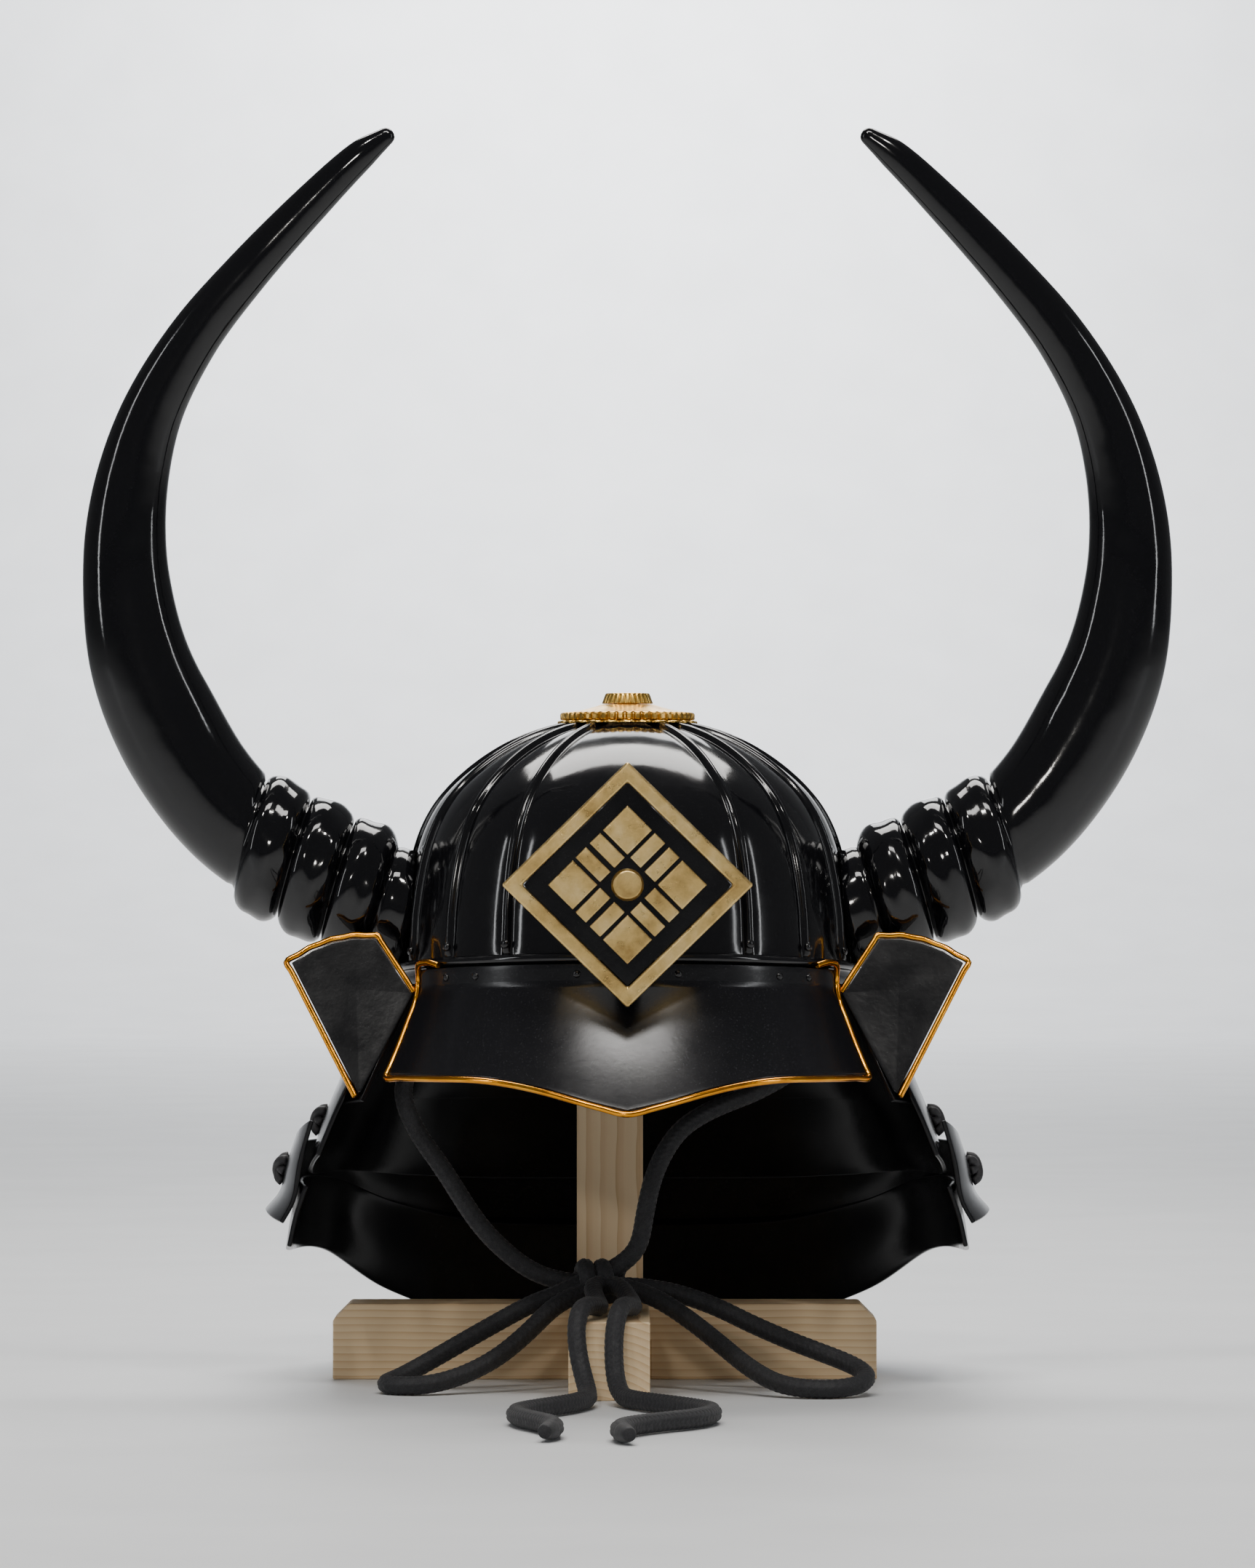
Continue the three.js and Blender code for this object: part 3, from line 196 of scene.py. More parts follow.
def join(parts):
    verts, faces, base = [], [], 0
    for v, f in parts:
        verts.append(np.asarray(v, float))
        faces.extend([[q + base for q in face] for face in f])
        base += len(v)
    return np.vstack(verts), faces


def piece(name, data, material, nodes=(), bevel=0.0, segments=2, sharp=None, merge=True):
    verts, faces = data
    v = np.asarray(verts, float) * 0.001
    v[:, 1] += CENTRE_Y * 0.001
    me = bpy.data.meshes.new(name)
    me.from_pydata(v.tolist(), [], faces)
    bm = bmesh.new()
    bm.from_mesh(me)
    if merge:
        bmesh.ops.remove_doubles(bm, verts=bm.verts, dist=2e-6)
    bmesh.ops.recalc_face_normals(bm, faces=bm.faces)
    return settle(name, me, bm, material, nodes, bevel, segments, sharp)


def settle(name, me, bm, material, nodes, bevel, segments, sharp):
    for f in bm.faces:
        f.smooth = True
    if sharp:
        for e in bm.edges:
            if len(e.link_faces) == 2 and e.calc_face_angle(0) > sharp * DEG:
                e.smooth = False
    bm.to_mesh(me)
    bm.free()
    me.materials.clear()
    me.materials.append(material)
    o = bpy.data.objects.new(name, me)
    bpy.context.scene.collection.objects.link(o)
    if bevel:
        b = o.modifiers.new("edge", "BEVEL")
        b.width = bevel * 0.001
        b.segments = segments
        b.limit_method = "ANGLE"
        b.angle_limit = 38 * DEG
        o.modifiers.new("shade", "WEIGHTED_NORMAL")
    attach(o, "root")
    if nodes:
        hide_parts(*nodes)
    return o


def from_node(node, material, bevel=0.6, segments=3):
    """A CAD node's own shape with its edges eased."""
    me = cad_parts[node].data.copy()
    bm = bmesh.new()
    bm.from_mesh(me)
    bmesh.ops.remove_doubles(bm, verts=bm.verts, dist=5e-6)
    bmesh.ops.dissolve_limit(bm, angle_limit=1.5 * DEG, verts=bm.verts, edges=bm.edges)
    bmesh.ops.recalc_face_normals(bm, faces=bm.faces)
    return settle(node + "_surface", me, bm, material, [node], bevel, segments, None)


# ------------------------------------------------------------------ materials
def shader(name):
    m = bpy.data.materials.new(name)
    m.use_nodes = True
    nt = m.node_tree
    b = nt.nodes["Principled BSDF"]
    tc = nt.nodes.new("ShaderNodeTexCoord")
    return m, nt, b, tc.outputs["Object"]


def mapped(nt, vec, scale=(1, 1, 1), rot=(0, 0, 0), loc=(0, 0, 0)):
    n = nt.nodes.new("ShaderNodeMapping")
    n.inputs["Scale"].default_value = scale
    n.inputs["Rotation"].default_value = rot
    n.inputs["Location"].default_value = loc
    nt.links.new(vec, n.inputs["Vector"])
    return n.outputs["Vector"]


def noise(nt, vec, scale, detail=3.0, rough=0.5):
    n = nt.nodes.new("ShaderNodeTexNoise")
    n.inputs["Scale"].default_value = scale
    n.inputs["Detail"].default_value = detail
    n.inputs["Roughness"].default_value = rough
    nt.links.new(vec, n.inputs["Vector"])
    return n.outputs["Fac"]


def ramp(nt, fac, stops):
    n = nt.nodes.new("ShaderNodeValToRGB")
    e = n.color_ramp.elements
    while len(e) < len(stops):
        e.new(0.5)
    for k, (at, c) in enumerate(stops):
        e[k].position = at
        e[k].color = (*c, 1) if len(c) == 3 else c
    nt.links.new(fac, n.inputs["Fac"])
    return n.outputs["Color"]


def span(nt, fac, lo, hi, a=0.3, b=0.7):
    n = nt.nodes.new("ShaderNodeMapRange")
    n.inputs["From Min"].default_value = a
    n.inputs["From Max"].default_value = b
    n.inputs["To Min"].default_value = lo
    n.inputs["To Max"].default_value = hi
    nt.links.new(fac, n.inputs["Value"])
    return n.outputs["Result"]


def bump(nt, b, height, strength, distance, chain=None):
    n = nt.nodes.new("ShaderNodeBump")
    n.inputs["Strength"].default_value = strength
    n.inputs["Distance"].default_value = distance
    nt.links.new(height, n.inputs["Height"])
    if chain:
        nt.links.new(chain, n.inputs["Normal"])
    nt.links.new(n.outputs["Normal"], b.inputs["Normal"])
    return n.outputs["Normal"]


def lacquer(name, dark, pale, rough, peel=0.12, wave=0.25, specks=0.0):
    """Black lacquer: long soft waves, a fine orange peel, faint dust."""
    m, nt, b, at = shader(name)
    dust = noise(nt, at, 1300, 2, 0.7)
    colour = ramp(nt, dust, [(0.0, dark), (0.62, dark), (0.74 - specks, pale), (1.0, pale)])
    nt.links.new(colour, b.inputs["Base Color"])
    nt.links.new(span(nt, noise(nt, at, 38, 4, 0.6), rough[0], rough[1]), b.inputs["Roughness"])
    b.inputs["IOR"].default_value = 1.52
    n = bump(nt, b, noise(nt, at, 26, 2), wave, 0.0012)
    bump(nt, b, noise(nt, at, 420, 2), peel, 0.0001, n)
    return m


M_LACQUER = lacquer("black_lacquer", (0.0035, 0.0035, 0.0045), (0.02, 0.02, 0.022), (0.07, 0.15))
M_HORN = lacquer("horn_lacquer", (0.0025, 0.0025, 0.0035), (0.012, 0.012, 0.014), (0.05, 0.12), 0.2, 0.5)
M_VISOR = lacquer("visor_lacquer", (0.0035, 0.0035, 0.005), (0.03, 0.03, 0.034), (0.19, 0.26), 0.25, 0.08, 0.03)
M_PLATE = lacquer("plate_lacquer", (0.003, 0.003, 0.004), (0.012, 0.012, 0.014), (0.13, 0.24), 0.2, 0.2)
M_PLATE.node_tree.nodes["Principled BSDF"].inputs["IOR"].default_value = 1.36
M_SATIN = lacquer("satin_lacquer", (0.0025, 0.0025, 0.0035), (0.02, 0.02, 0.022), (0.14, 0.22), 0.3, 0.08, 0.02)


def metal(name, stops, rough, scratch, brushed):
    m, nt, b, at = shader(name)
    patch = noise(nt, at, 60, 5, 0.65)
    nt.links.new(ramp(nt, patch, stops), b.inputs["Base Color"])
    b.inputs["Metallic"].default_value = 1.0
    nt.links.new(span(nt, noise(nt, at, 170, 4, 0.6), rough[0], rough[1]), b.inputs["Roughness"])
    if brushed:
        lines = noise(nt, mapped(nt, at, (260, 260, 3200), (0, 45 * DEG, 0)), 1.0, 4, 0.7)
        n = bump(nt, b, lines, scratch, 0.00012)
        bump(nt, b, noise(nt, at, 45, 3), 0.25, 0.0006, n)
    else:
        bump(nt, b, noise(nt, at, 500, 3), scratch, 0.0001)
    return m


M_GOLD = metal("rim_gold", [(0.25, (0.60, 0.20, 0.008)), (0.5, (0.86, 0.34, 0.018)), (0.75, (0.98, 0.47, 0.05))], (0.14, 0.24), 0.15, False)
M_CROWN = metal("crown_gilt", [(0.25, (0.66, 0.36, 0.06)), (0.5, (0.92, 0.57, 0.13)), (0.75, (1.0, 0.70, 0.24))], (0.16, 0.30), 0.2, False)
M_WING = metal("crown_plate_gilt", [(0.25, (0.34, 0.18, 0.04)), (0.5, (0.72, 0.43, 0.10)), (0.75, (0.97, 0.64, 0.2))], (0.24, 0.40), 0.3, False)
M_BRASS = metal("brushed_brass", [(0.28, (0.40, 0.25, 0.08)), (0.5, (0.74, 0.52, 0.20)), (0.72, (0.93, 0.71, 0.34))], (0.24, 0.40), 0.5, True)


def wood(name, direction, pith, lift=(0, 0, 0)):
    """Solid softwood: growth rings round a pith line, so side and end grain agree."""
    m, nt, b, at = shader(name)
    at2 = mapped(nt, at, (1, 1, 1), (0, 0, 0), tuple(-x for x in pith))
    w = nt.nodes.new("ShaderNodeTexWave")
    w.wave_type = "RINGS"
    w.rings_direction = direction
    w.wave_profile = "SAW"
    w.inputs["Scale"].default_value = 92
    w.inputs["Distortion"].default_value = 2.2
    w.inputs["Detail"].default_value = 2.0
    w.inputs["Detail Scale"].default_value = 0.22
    nt.links.new(at2, w.inputs["Vector"])
    stretch = {"X": (9, 260, 260), "Y": (260, 9, 260), "Z": (260, 260, 9)}[direction]
    fibre = noise(nt, mapped(nt, at, stretch), 1.0, 4, 0.65)
    mix = nt.nodes.new("ShaderNodeMix")
    mix.data_type = "FLOAT"
    mix.inputs["Factor"].default_value = 0.38
    nt.links.new(w.outputs["Fac"], mix.inputs["A"])
    nt.links.new(fibre, mix.inputs["B"])
    grain = mix.outputs["Result"]
    nt.links.new(ramp(nt, grain, [(0.12, (0.84, 0.66, 0.42)), (0.5, (0.80, 0.60, 0.36)), (0.76, (0.70, 0.48, 0.26)), (0.92, (0.56, 0.36, 0.18))]), b.inputs["Base Color"])
    nt.links.new(span(nt, fibre, 0.48, 0.66), b.inputs["Roughness"])
    bump(nt, b, fibre, 0.35, 0.0004)
    return m


M_BAR = wood("pine_bar", "Y", (-0.016, 0, -0.035))
M_PLANK = wood("pine_plank", "X", (0, 0.035, -0.16))
M_POST = wood("pine_post", "Z", (0.03, 0.08, 0))


def fabric(name, dark, pale, rough):
    m, nt, b, at = shader(name)
    fibre = noise(nt, at, 1500, 4, 0.7)
    nt.links.new(ramp(nt, fibre, [(0.3, dark), (0.7, pale)]), b.inputs["Base Color"])
    nt.links.new(span(nt, noise(nt, at, 300, 3), rough, min(1, rough + 0.18)), b.inputs["Roughness"])
    b.inputs["Sheen Weight"].default_value = 0.12
    b.inputs["Sheen Roughness"].default_value = 0.4
    bump(nt, b, fibre, 0.6, 0.0003)
    return m


M_CORD = fabric("charcoal_braid", (0.005, 0.005, 0.006), (0.026, 0.026, 0.030), 0.6)
M_TIP = lacquer("sealed_tip", (0.01, 0.01, 0.012), (0.03, 0.03, 0.03), (0.25, 0.4))
M_SILK = fabric("black_lacing", (0.006, 0.006, 0.008), (0.028, 0.026, 0.03), 0.45)

# ------------------------------------------------------------------ camera, first
cam_data = bpy.data.cameras.new("camera")
camera = bpy.data.objects.new("camera", cam_data)
bpy.context.scene.collection.objects.link(camera)
camera.location = (0.0, -3.337, 0.259)
aim = Vector((0.0, 0.0, 0.288)) - camera.location
camera.rotation_euler = aim.to_track_quat("-Z", "Y").to_euler()
cam_data.sensor_fit = "VERTICAL"
cam_data.sensor_height = 36
cam_data.lens = 158
cam_data.clip_start = 0.1
bpy.context.scene.camera = camera

# ------------------------------------------------------------------ chin cord: two halves that meet in the bow
ROUTE = {
    "strap_left": [[-92.2, -40, 185.7], [-92.6, -40, 175], [-102.5, -42, 155], [-107.5, -44, 141], [-101, -45, 123], [-88, -46, 104], [-69.4, -47, 76], [-54.5, -47, 61.5], [-44, -47, 54.5], [-35.8, -47, 51.6]],
    "strap_right": [[92.2, -40, 185.7], [91.8, -40, 175], [82, -41, 154], [63, -42, 141.5], [40, -43, 132], [24.7, -44, 122], [13.4, -45, 103], [8.2, -46, 82], [5.4, -47, 67], [1.0, -47, 61.6]],
    "loop_left": [[-33.6, -53.5, 44.5], [-45, -56, 40.5], [-62, -57, 31.5], [-80, -61, 21.5], [-96, -66, 12.6], [-107, -72.5, 7], [-113.8, -81.5, 4.75], [-113, -91.5, 4.6], [-105, -98, 4.65], [-94, -97.5, 5.1], [-78, -89.5, 8.8], [-61, -80, 17.0], [-46, -71.5, 29], [-35.5, -65, 39], [-27.5, -60.6, 43.6]],
    "loop_right": [[9.2, -49, 47.5], [24, -53, 45], [42, -57, 39], [58, -61, 31.5], [76, -67, 24], [93, -75, 18], [106, -84, 13.4], [112.5, -94, 9.6], [110.5, -105, 6.6], [101, -115, 4.9], [88, -118, 4.6], [72, -110, 6.2], [58, -96, 12.5], [45, -82, 22], [30, -70, 33.2], [16, -62, 42], [6.2, -57, 46]],
    "tail_left": [[-16.5, -60.6, 49.6], [-15.5, -74, 45.4], [-13.5, -89, 42.2], [-13.5, -104, 41.9], [-17.5, -118, 43.6], [-21.5, -129.5, 43.2], [-23.8, -137.5, 35.5], [-22.8, -143.5, 23], [-20, -150.5, 11.6], [-18, -163, 5.4], [-20, -182, 4.9], [-27, -204, 4.9], [-38, -224, 4.9], [-47, -243, 4.9], [-50, -263, 4.9], [-46, -283, 4.9], [-39, -301, 4.9], [-33, -318, 4.9], [-32, -336, 4.9], [-36, -353, 4.9]],
    "tail_right": [[-4.6, -60.4, 49.6], [-0.5, -73, 45.6], [2.4, -89, 42.2], [2.2, -104, 41.9], [-0.6, -118, 43.6], [-3.6, -129.5, 43.2], [-5.8, -137.5, 35.5], [-6.4, -143.5, 24], [-5.5, -150.5, 12], [-2.6, -163, 5.4], [4, -182, 4.9], [15, -202, 4.9], [28, -222, 4.9], [37, -243, 4.9], [37, -265, 4.9], [28, -286, 4.9], [14, -303, 4.9], [2, -321, 4.9], [-3, -336, 4.9], [-3, -352, 4.9], [1, -368, 4.9]],
}


def braid(s, ang, columns=8, pitch=3.3):
    """Round braid: columns of slanted strands, each slanting against its neighbours."""
    u = ang / (2 * math.pi) * columns
    c = np.floor(u).astype(int)
    x = u - c
    side = np.where(c % 2 == 0, 1.0, -1.0)
    strand = np.abs(np.sin(math.pi * (s / pitch + side * (x - 0.5) * 1.35))) ** 0.6
    return -0.5 + 0.75 * strand * (0.45 + 0.55 * np.sin(math.pi * x) ** 0.5)


def cord_half(name, pieces_of_route, nodes):
    pts = [p for part in pieces_of_route for p in part]
    path, _ = resample(spline(pts, 16), 0.5)
    for _ in range(180):  # a limp cord has no sharp corner: ease every bend by a millimetre or so
        path[1:-1] = 0.25 * path[:-2] + 0.5 * path[1:-1] + 0.25 * path[2:]
    path, s = resample(path, 0.5)
    radius = np.full(len(path), CORD_R)
    end = s[-1] - s
    radius = np.where(end < 9, CORD_R * (0.62 + 0.38 * np.sqrt(np.clip(end / 9, 0, 1))), radius)
    fade = lambda q: min(1.0, max(0.0, (s[-1] - 9 - q) / 3))
    data = tube_mesh(path, radius, 32, lambda q, a: braid(q, a) * fade(q))
    o = piece(name, data, M_CORD, nodes, merge=False)
    world = path * 0.001
    world[:, 1] += CENTRE_Y * 0.001
    return o


turns = []
for k in range(67):
    a = k / 66 * 2.15 * 2 * math.pi + 0.4
    turns.append([-13 + 9.2 * (k / 66 - 0.5) * 1.9, -47.6 + (7.7 + 0.5 * math.sin(1.7 * a)) * math.cos(a), 50.6 + 6.6 * math.sin(a)])
knot_path, _ = resample(np.array(turns), 0.5)
knot = piece("bow_knot", tube_mesh(knot_path, CORD_R * 0.98, 28, lambda q, a: braid(q, a)), M_CORD, ["chin_knot"], merge=False)
cord_half("chin_cord_left", [ROUTE["strap_left"], [[-24, -47.5, 49.6], [-8, -48, 48.4]], ROUTE["loop_right"], [[-4, -55.6, 48.6], [-13, -56.6, 49.8]], ROUTE["tail_left"]], ["chin_strap_left", "bow_loop_right", "cord_tail_left"])
cord_half("chin_cord_right", [ROUTE["strap_right"], [[-8, -47.5, 55.6], [-21, -49.5, 50.5]], ROUTE["loop_left"], [[-18.5, -57.2, 46.8], [-9.5, -57.0, 49.4]], ROUTE["tail_right"]], ["chin_strap_right", "bow_loop_left", "cord_tail_right"])

# ------------------------------------------------------------------ bowl
Z_AT = [-p[0] for p in BOWL_PROFILE]
R_AT = [p[1] for p in BOWL_PROFILE]


def bowl_r(z):
    return column(Z_AT, R_AT, -z)


def bead_z(y):
    return BEAD_Z - BEAD_SLOPE * y


def bowl_point(theta, z0, out):
    s, c = math.sin(theta * DEG), math.cos(theta * DEG)
    r = bowl_r(z0) + out
    y = -r * DEPTH_RATIO * c
    lean = min(1.0, max(0.0, (275 - z0) / 75))
    return (r * s, y, z0 - BEAD_SLOPE * y * lean * lean * (3 - 2 * lean) + out * max(0, (z0 - 285) / 34))


def foot_point(theta, up, out):
    s, c = math.sin(theta * DEG), math.cos(theta * DEG)
    r = 108.55 + min(0, -0.06 * up)
    nx, ny = s * DEPTH_RATIO, -c
    l = math.hypot(nx, ny)
    y = -r * DEPTH_RATIO * c
    return (r * s + nx / l * out, y + ny / l * out, bead_z(y) + up)


RIB = [(-1.75, 0.0), (-1.3, -0.28), (-1.02, -0.05), (-0.86, 0.9), (-0.6, 1.85), (-0.3, 2.3), (0, 2.4), (0.3, 2.3), (0.6, 1.85), (0.86, 0.9), (1.02, -0.05), (1.3, -0.28), (1.75, 0.0)]
Z_ROWS = [318.6, 318.3, 317.9, 317.3, 316.4, 315.2, 313.8, 312.2, 310.4] + list(np.linspace(308.2, 222, 46))


def bowl_columns(r):
    """Angle and rib height of each column of the bowl at a radius."""
    half = min(RIDGE_HALF_W / r / DEG, 6.2)
    angles = RIDGE_ANGLES + [360 - a for a in reversed(RIDGE_ANGLES)]
    out = []
    for k, a in enumerate(angles):
        out += [(a + d * half, h) for d, h in RIB]
        nxt = angles[k + 1] if k + 1 < len(angles) else angles[0] + 360
        a0, a1 = a + 1.75 * half, nxt - 1.75 * half
        steps = 7 if nxt - a < 30 else 15
        out += [(a0 + (a1 - a0) * q / steps, 0.45 * math.sin(math.pi * q / steps)) for q in range(1, steps)]
    return out


def bowl_grid(extra, ribbed):
    lines = []
    for z in Z_ROWS:
        f = min(1.0, max(0.0, (318.3 - z) / 3.5)) if ribbed else 0.0
        f = f * f * (3 - 2 * f)
        lines.append([bowl_point(a, z, extra + h * f) for a, h in bowl_columns(bowl_r(z))])
    last = bowl_columns(108.6)
    base = np.array([bowl_point(a, 222, extra + (h if ribbed else 0)) for a, h in last])
    foot = np.array([foot_point(a, 4, extra + (h if ribbed else 0)) for a, h in last])
    for q in (0.2, 0.4, 0.6, 0.8, 1.0):
        lines.append((base * (1 - q) + foot * q).tolist())
    lines.append([foot_point(a, 1.2, extra + (0.4 * h if ribbed else 0)) for a, h in last])
    for up in (-0.5, -5, -SKIRT):
        lines.append([foot_point(a, up, extra) for a, h in last])
    return np.array(lines).transpose(1, 0, 2)


outer, inner = bowl_grid(0, True), bowl_grid(-BOWL_WALL, False)
for j, z in enumerate(Z_ROWS):
    inner[:, j, 2] -= 2.2 * min(1.0, max(0.0, (z - 285) / 30))
piece("bowl_surface", wall_faces(outer, inner, True), M_LACQUER, ["bowl_front", "bowl_right", "bowl_back", "bowl_left"], merge=False)

# waist band with its bead
section = [(GAP, -9.2), (2.0, -9.2), (2.3, -9.05), (2.4, -8.8), (2.4, -5.5), (2.4, -2.9), (2.5, -2.45)]
section += [(2.0 + 2.3 * math.cos(a * DEG), 0.1 + 2.3 * math.sin(a * DEG)) for a in range(-62, 104, 12)]
section += [(GAP, 1.9)]
rings = np.array([[foot_point(k * 1.5, up, out) for out, up in section] for k in range(240)])
rings = np.concatenate([rings, rings[:1]], 0)
piece("waist_band_surface", ring_faces(rings, caps=False), M_LACQUER, ["waist_band"], sharp=50)


# ------------------------------------------------------------------ visor
VISOR_CTRL = (VISOR_DEEP - VISOR_END_SLOPE * VISOR_REACH) / (VISOR_TOP_SLOPE - VISOR_END_SLOPE)


def visor_point(a, v):
    top = np.array(foot_point(a, -2.7, VISOR_TOP_OUT))
    low = np.array(foot_point(a, -2.7 - VISOR_FLANGE, VISOR_TOP_OUT))
    if v <= 0.15:
        return top + (low - top) * v / 0.15
    deep = (low[2] - column(VISOR_AT, VISOR_Z, abs(a))) * (v - 0.15) / 0.85
    b = 2 * VISOR_TOP_SLOPE * VISOR_CTRL
    t = 2 * deep / (b + math.sqrt(b * b + 4 * (VISOR_DEEP - b) * deep))
    flare = 1 + VISOR_SIDE_FLARE * math.sin(math.pi * a / VISOR_HALF_ANGLE) ** 2
    out = (2 * VISOR_CTRL * t * (1 - t) + VISOR_REACH * t * t) * flare
    turn = a * VISOR_TURN * DEG
    return low + np.array([out * math.sin(turn), -out * math.cos(turn), -deep])


V_ROWS = [0, 0.04, 0.08, 0.12, 0.15, 0.18] + list(np.linspace(0.22, 1, 26))
A_COLS = np.linspace(-VISOR_HALF_ANGLE, VISOR_HALF_ANGLE, 97)
outer = np.array([[visor_point(a, v) for v in V_ROWS] for a in A_COLS])
inner = outer - grid_normals(outer, (0, 0, 170)) * VISOR_T
piece("visor_surface", wall_faces(outer, inner, False), M_VISOR, ["visor"], bevel=0.5)


def unit(v):
    return v / np.linalg.norm(v)


route = []
E = -VISOR_HALF_ANGLE
for v in (0.05, 0.2, 0.45, 0.72, 0.93):
    p = visor_point(E, v)
    route.append(p + unit(p - visor_point(E * 0.97, v)) * (RIM_R + GAP))
low = []
for a in np.linspace(E, -E, 25):
    p = visor_point(a, 1)
    q = p + unit(p - visor_point(a, 0.97)) * (RIM_R + GAP)
    if abs(a) > VISOR_HALF_ANGLE - 0.1:
        q = q + unit(p - visor_point(a * 0.97, 1)) * (RIM_R + GAP) * 0.8
    low.append(q)
mirror = [np.array([-p[0], p[1], p[2]]) for p in reversed(route)]
path = np.array(route + low + mirror) + np.array([0, VISOR_T * 0.35, -VISOR_T * 0.25])
# the edging's ends curl in over the flange's top
curl = [np.array(foot_point(E + 9, -1.4, 6.3)), np.array(foot_point(E + 5, 0.4, 6.9)), np.array(foot_point(E + 1.2, -0.6, 7.1))]
back = [np.array([-p[0], p[1], p[2]]) for p in reversed(curl)]
path = np.vstack([curl, path, back])
path, _ = resample(spline(path, 8), 1.6)
piece("visor_rim_surface", tube_mesh(path, RIM_R, 14), M_GOLD, ["visor_rim"], bevel=0.25, sharp=None)

# ------------------------------------------------------------------ neck guard
PLATE_A = [90, 115, 135, 155, 180]


def plate_point(row, f):
    half, back, n0, edge, z = row
    front = math.acos((abs(edge) / back) ** (n0 / 2)) / DEG
    a = 180 - abs(f) * (180 - front)
    n = n0 if a < 90 else PLATE_BACK_N
    s, c = math.sin(a * DEG), math.cos(a * DEG)
    x = half * max(0.0, s) ** (2 / n) * (-1 if f < 0 else 1)
    y = -back * math.copysign(abs(c) ** (2 / n), c)
    return (x, y, column([front] + PLATE_A, z, a))


def plate_grid(rows, steps=150, per=6):
    out = []
    for i in range(steps + 1):
        out.append(spline([plate_point(r, -1 + 2 * i / steps) for r in rows], per))
    g = np.array(out)
    # the superellipse has a kink in spacing at the sides: smooth the columns lightly
    for _ in range(2):
        g[1:-1] = 0.25 * g[:-2] + 0.5 * g[1:-1] + 0.25 * g[2:]
    return g


def plate_mesh(rows):
    g = plate_grid(rows)
    return wall_faces(g, g - grid_normals(g, (0, 0, 100)) * PLATE_T, False)


def turn_y(x, z):
    return TURN_Y0 + TURN_X * x + TURN_Z * z


TURN_N = unit(np.array([TURN_X, -1, TURN_Z]))


def panel(side):
    """Turned-back end: flat plate of the outline, with slightly dished face."""
    out = [(101.9, 187.9)] + TURNBACK + [(126.0, 142.0)]
    pts = np.array([(x, turn_y(x, z), z) for x, z in out])
    mid = pts.mean(0)
    rings = []
    for d, k in ((-TURNBACK_T, 0.0), (-TURNBACK_T, 0.97), (-TURNBACK_T, 1.0), (0, 1.0), (0, 0.97), (0, 0.9), (-0.25, 0.6), (-0.35, 0.0)):
        rings.append(mid + (pts - mid) * max(k, 0.02) + TURN_N * d)
    r = np.array(rings)
    r[:, :, 0] *= side
    return ring_faces(r)


g1 = plate_grid(PLATES["neck_plate_1"])
parts = [wall_faces(g1, g1 - grid_normals(g1, (0, 0, 100)) * PLATE_T, False)]
piece("neck_plate_1_surface", join(parts), M_PLATE, ["neck_plate_1"], bevel=0.5)
for side, word in ((-1, "left"), (1, "right")):
    piece("turnback_" + word, panel(side), M_SATIN, [], bevel=0.4)
for name in ("neck_plate_2", "neck_plate_3", "neck_plate_4"):
    piece(name + "_surface", plate_mesh(PLATES[name]), M_PLATE, [name], bevel=0.6)

# gold edges of the turned-back ends
for side, word in ((-1, "left"), (1, "right")):
    T = TURNBACK
    mid = np.array([130, 178])
    pts = []

    def out_of(p, q):
        d = unit(np.array([-(q[1] - p[1]), q[0] - p[0]], float))
        c = (np.array(p) + np.array(q)) / 2
        return d if (c - mid).dot(d) > 0 else -d

    def put(x, z):
        pts.append(np.array([x, turn_y(x, z), z]) - TURN_N * TURNBACK_T / 2)

    d = RIM_R + GAP
    for i in range(len(T) - 1):
        o = out_of(T[i], T[i + 1])
        for f in {0: [-0.03, 0.35, 0.65, 0.95], len(T) - 2: [0.05, 0.35, 0.65, 1.01]}.get(i, [0.5]):
            put(T[i][0] + f * (T[i + 1][0] - T[i][0]) + o[0] * d, T[i][1] + f * (T[i + 1][1] - T[i][1]) + o[1] * d)
        if i < len(T) - 2:
            q = o + out_of(T[i + 1], T[i + 2])
            k = d * 2.1 / q.dot(q)
            put(T[i + 1][0] + q[0] * k, T[i + 1][1] + q[1] * k)
    p = np.array(pts)
    p[:, 0] *= side
    path, _ = resample(spline(p, 10), 1.6)
    piece("turnback_rim_" + word + "_surface", tube_mesh(path, RIM_R, 14), M_GOLD, ["turnback_rim_" + word], bevel=0.25)


# lacing knots on the outside of the second and third plates
def knot_cross(at, normal, up, size=1.0):
    side = np.cross(up, normal)
    out = []
    for sgn in (-1, 1):
        arc = []
        for k in range(13):
            t = -1 + 2 * k / 12
            h = math.sqrt(max(0.0, 1 - abs(t) ** 2.6))
            arc.append(at + up * 5.6 * t * size + side * 3.6 * sgn * t * size + normal * (3.6 + 0.5 * sgn) * h * size)
        out.append(tube_mesh(spline(arc, 2), 2.3 * size, 10))
    arc = [at + side * 5.0 * t * size + normal * 2.6 * math.sqrt(max(0.0, 1 - t * t)) * size for t in np.linspace(-1, 1, 11)]
    out.append(tube_mesh(spline(arc, 2), 2.0 * size, 10))
    return out


knots = []
for name, v, angles in (("neck_plate_2", 6, (1.5, 0.84, 0.56, 0.28, 0.0)), ("neck_plate_3", 7, (0.84, 0.56, 0.28, 0.0))):
    g = plate_grid(PLATES[name])
    nrm = grid_normals(g, (0, 0, 100))
    for f in {round(s * a, 3) for a in angles if a <= 1 for s in (-1, 1)} | {0.0}:
        i = int(round((f + 1) / 2 * (len(g) - 1)))
        up = unit(g[i, v - 1] - g[i, v + 1])
        knots += knot_cross(g[i, v], nrm[i, v], up)
piece("lacing_knots", join(knots), M_SILK, [], merge=False)


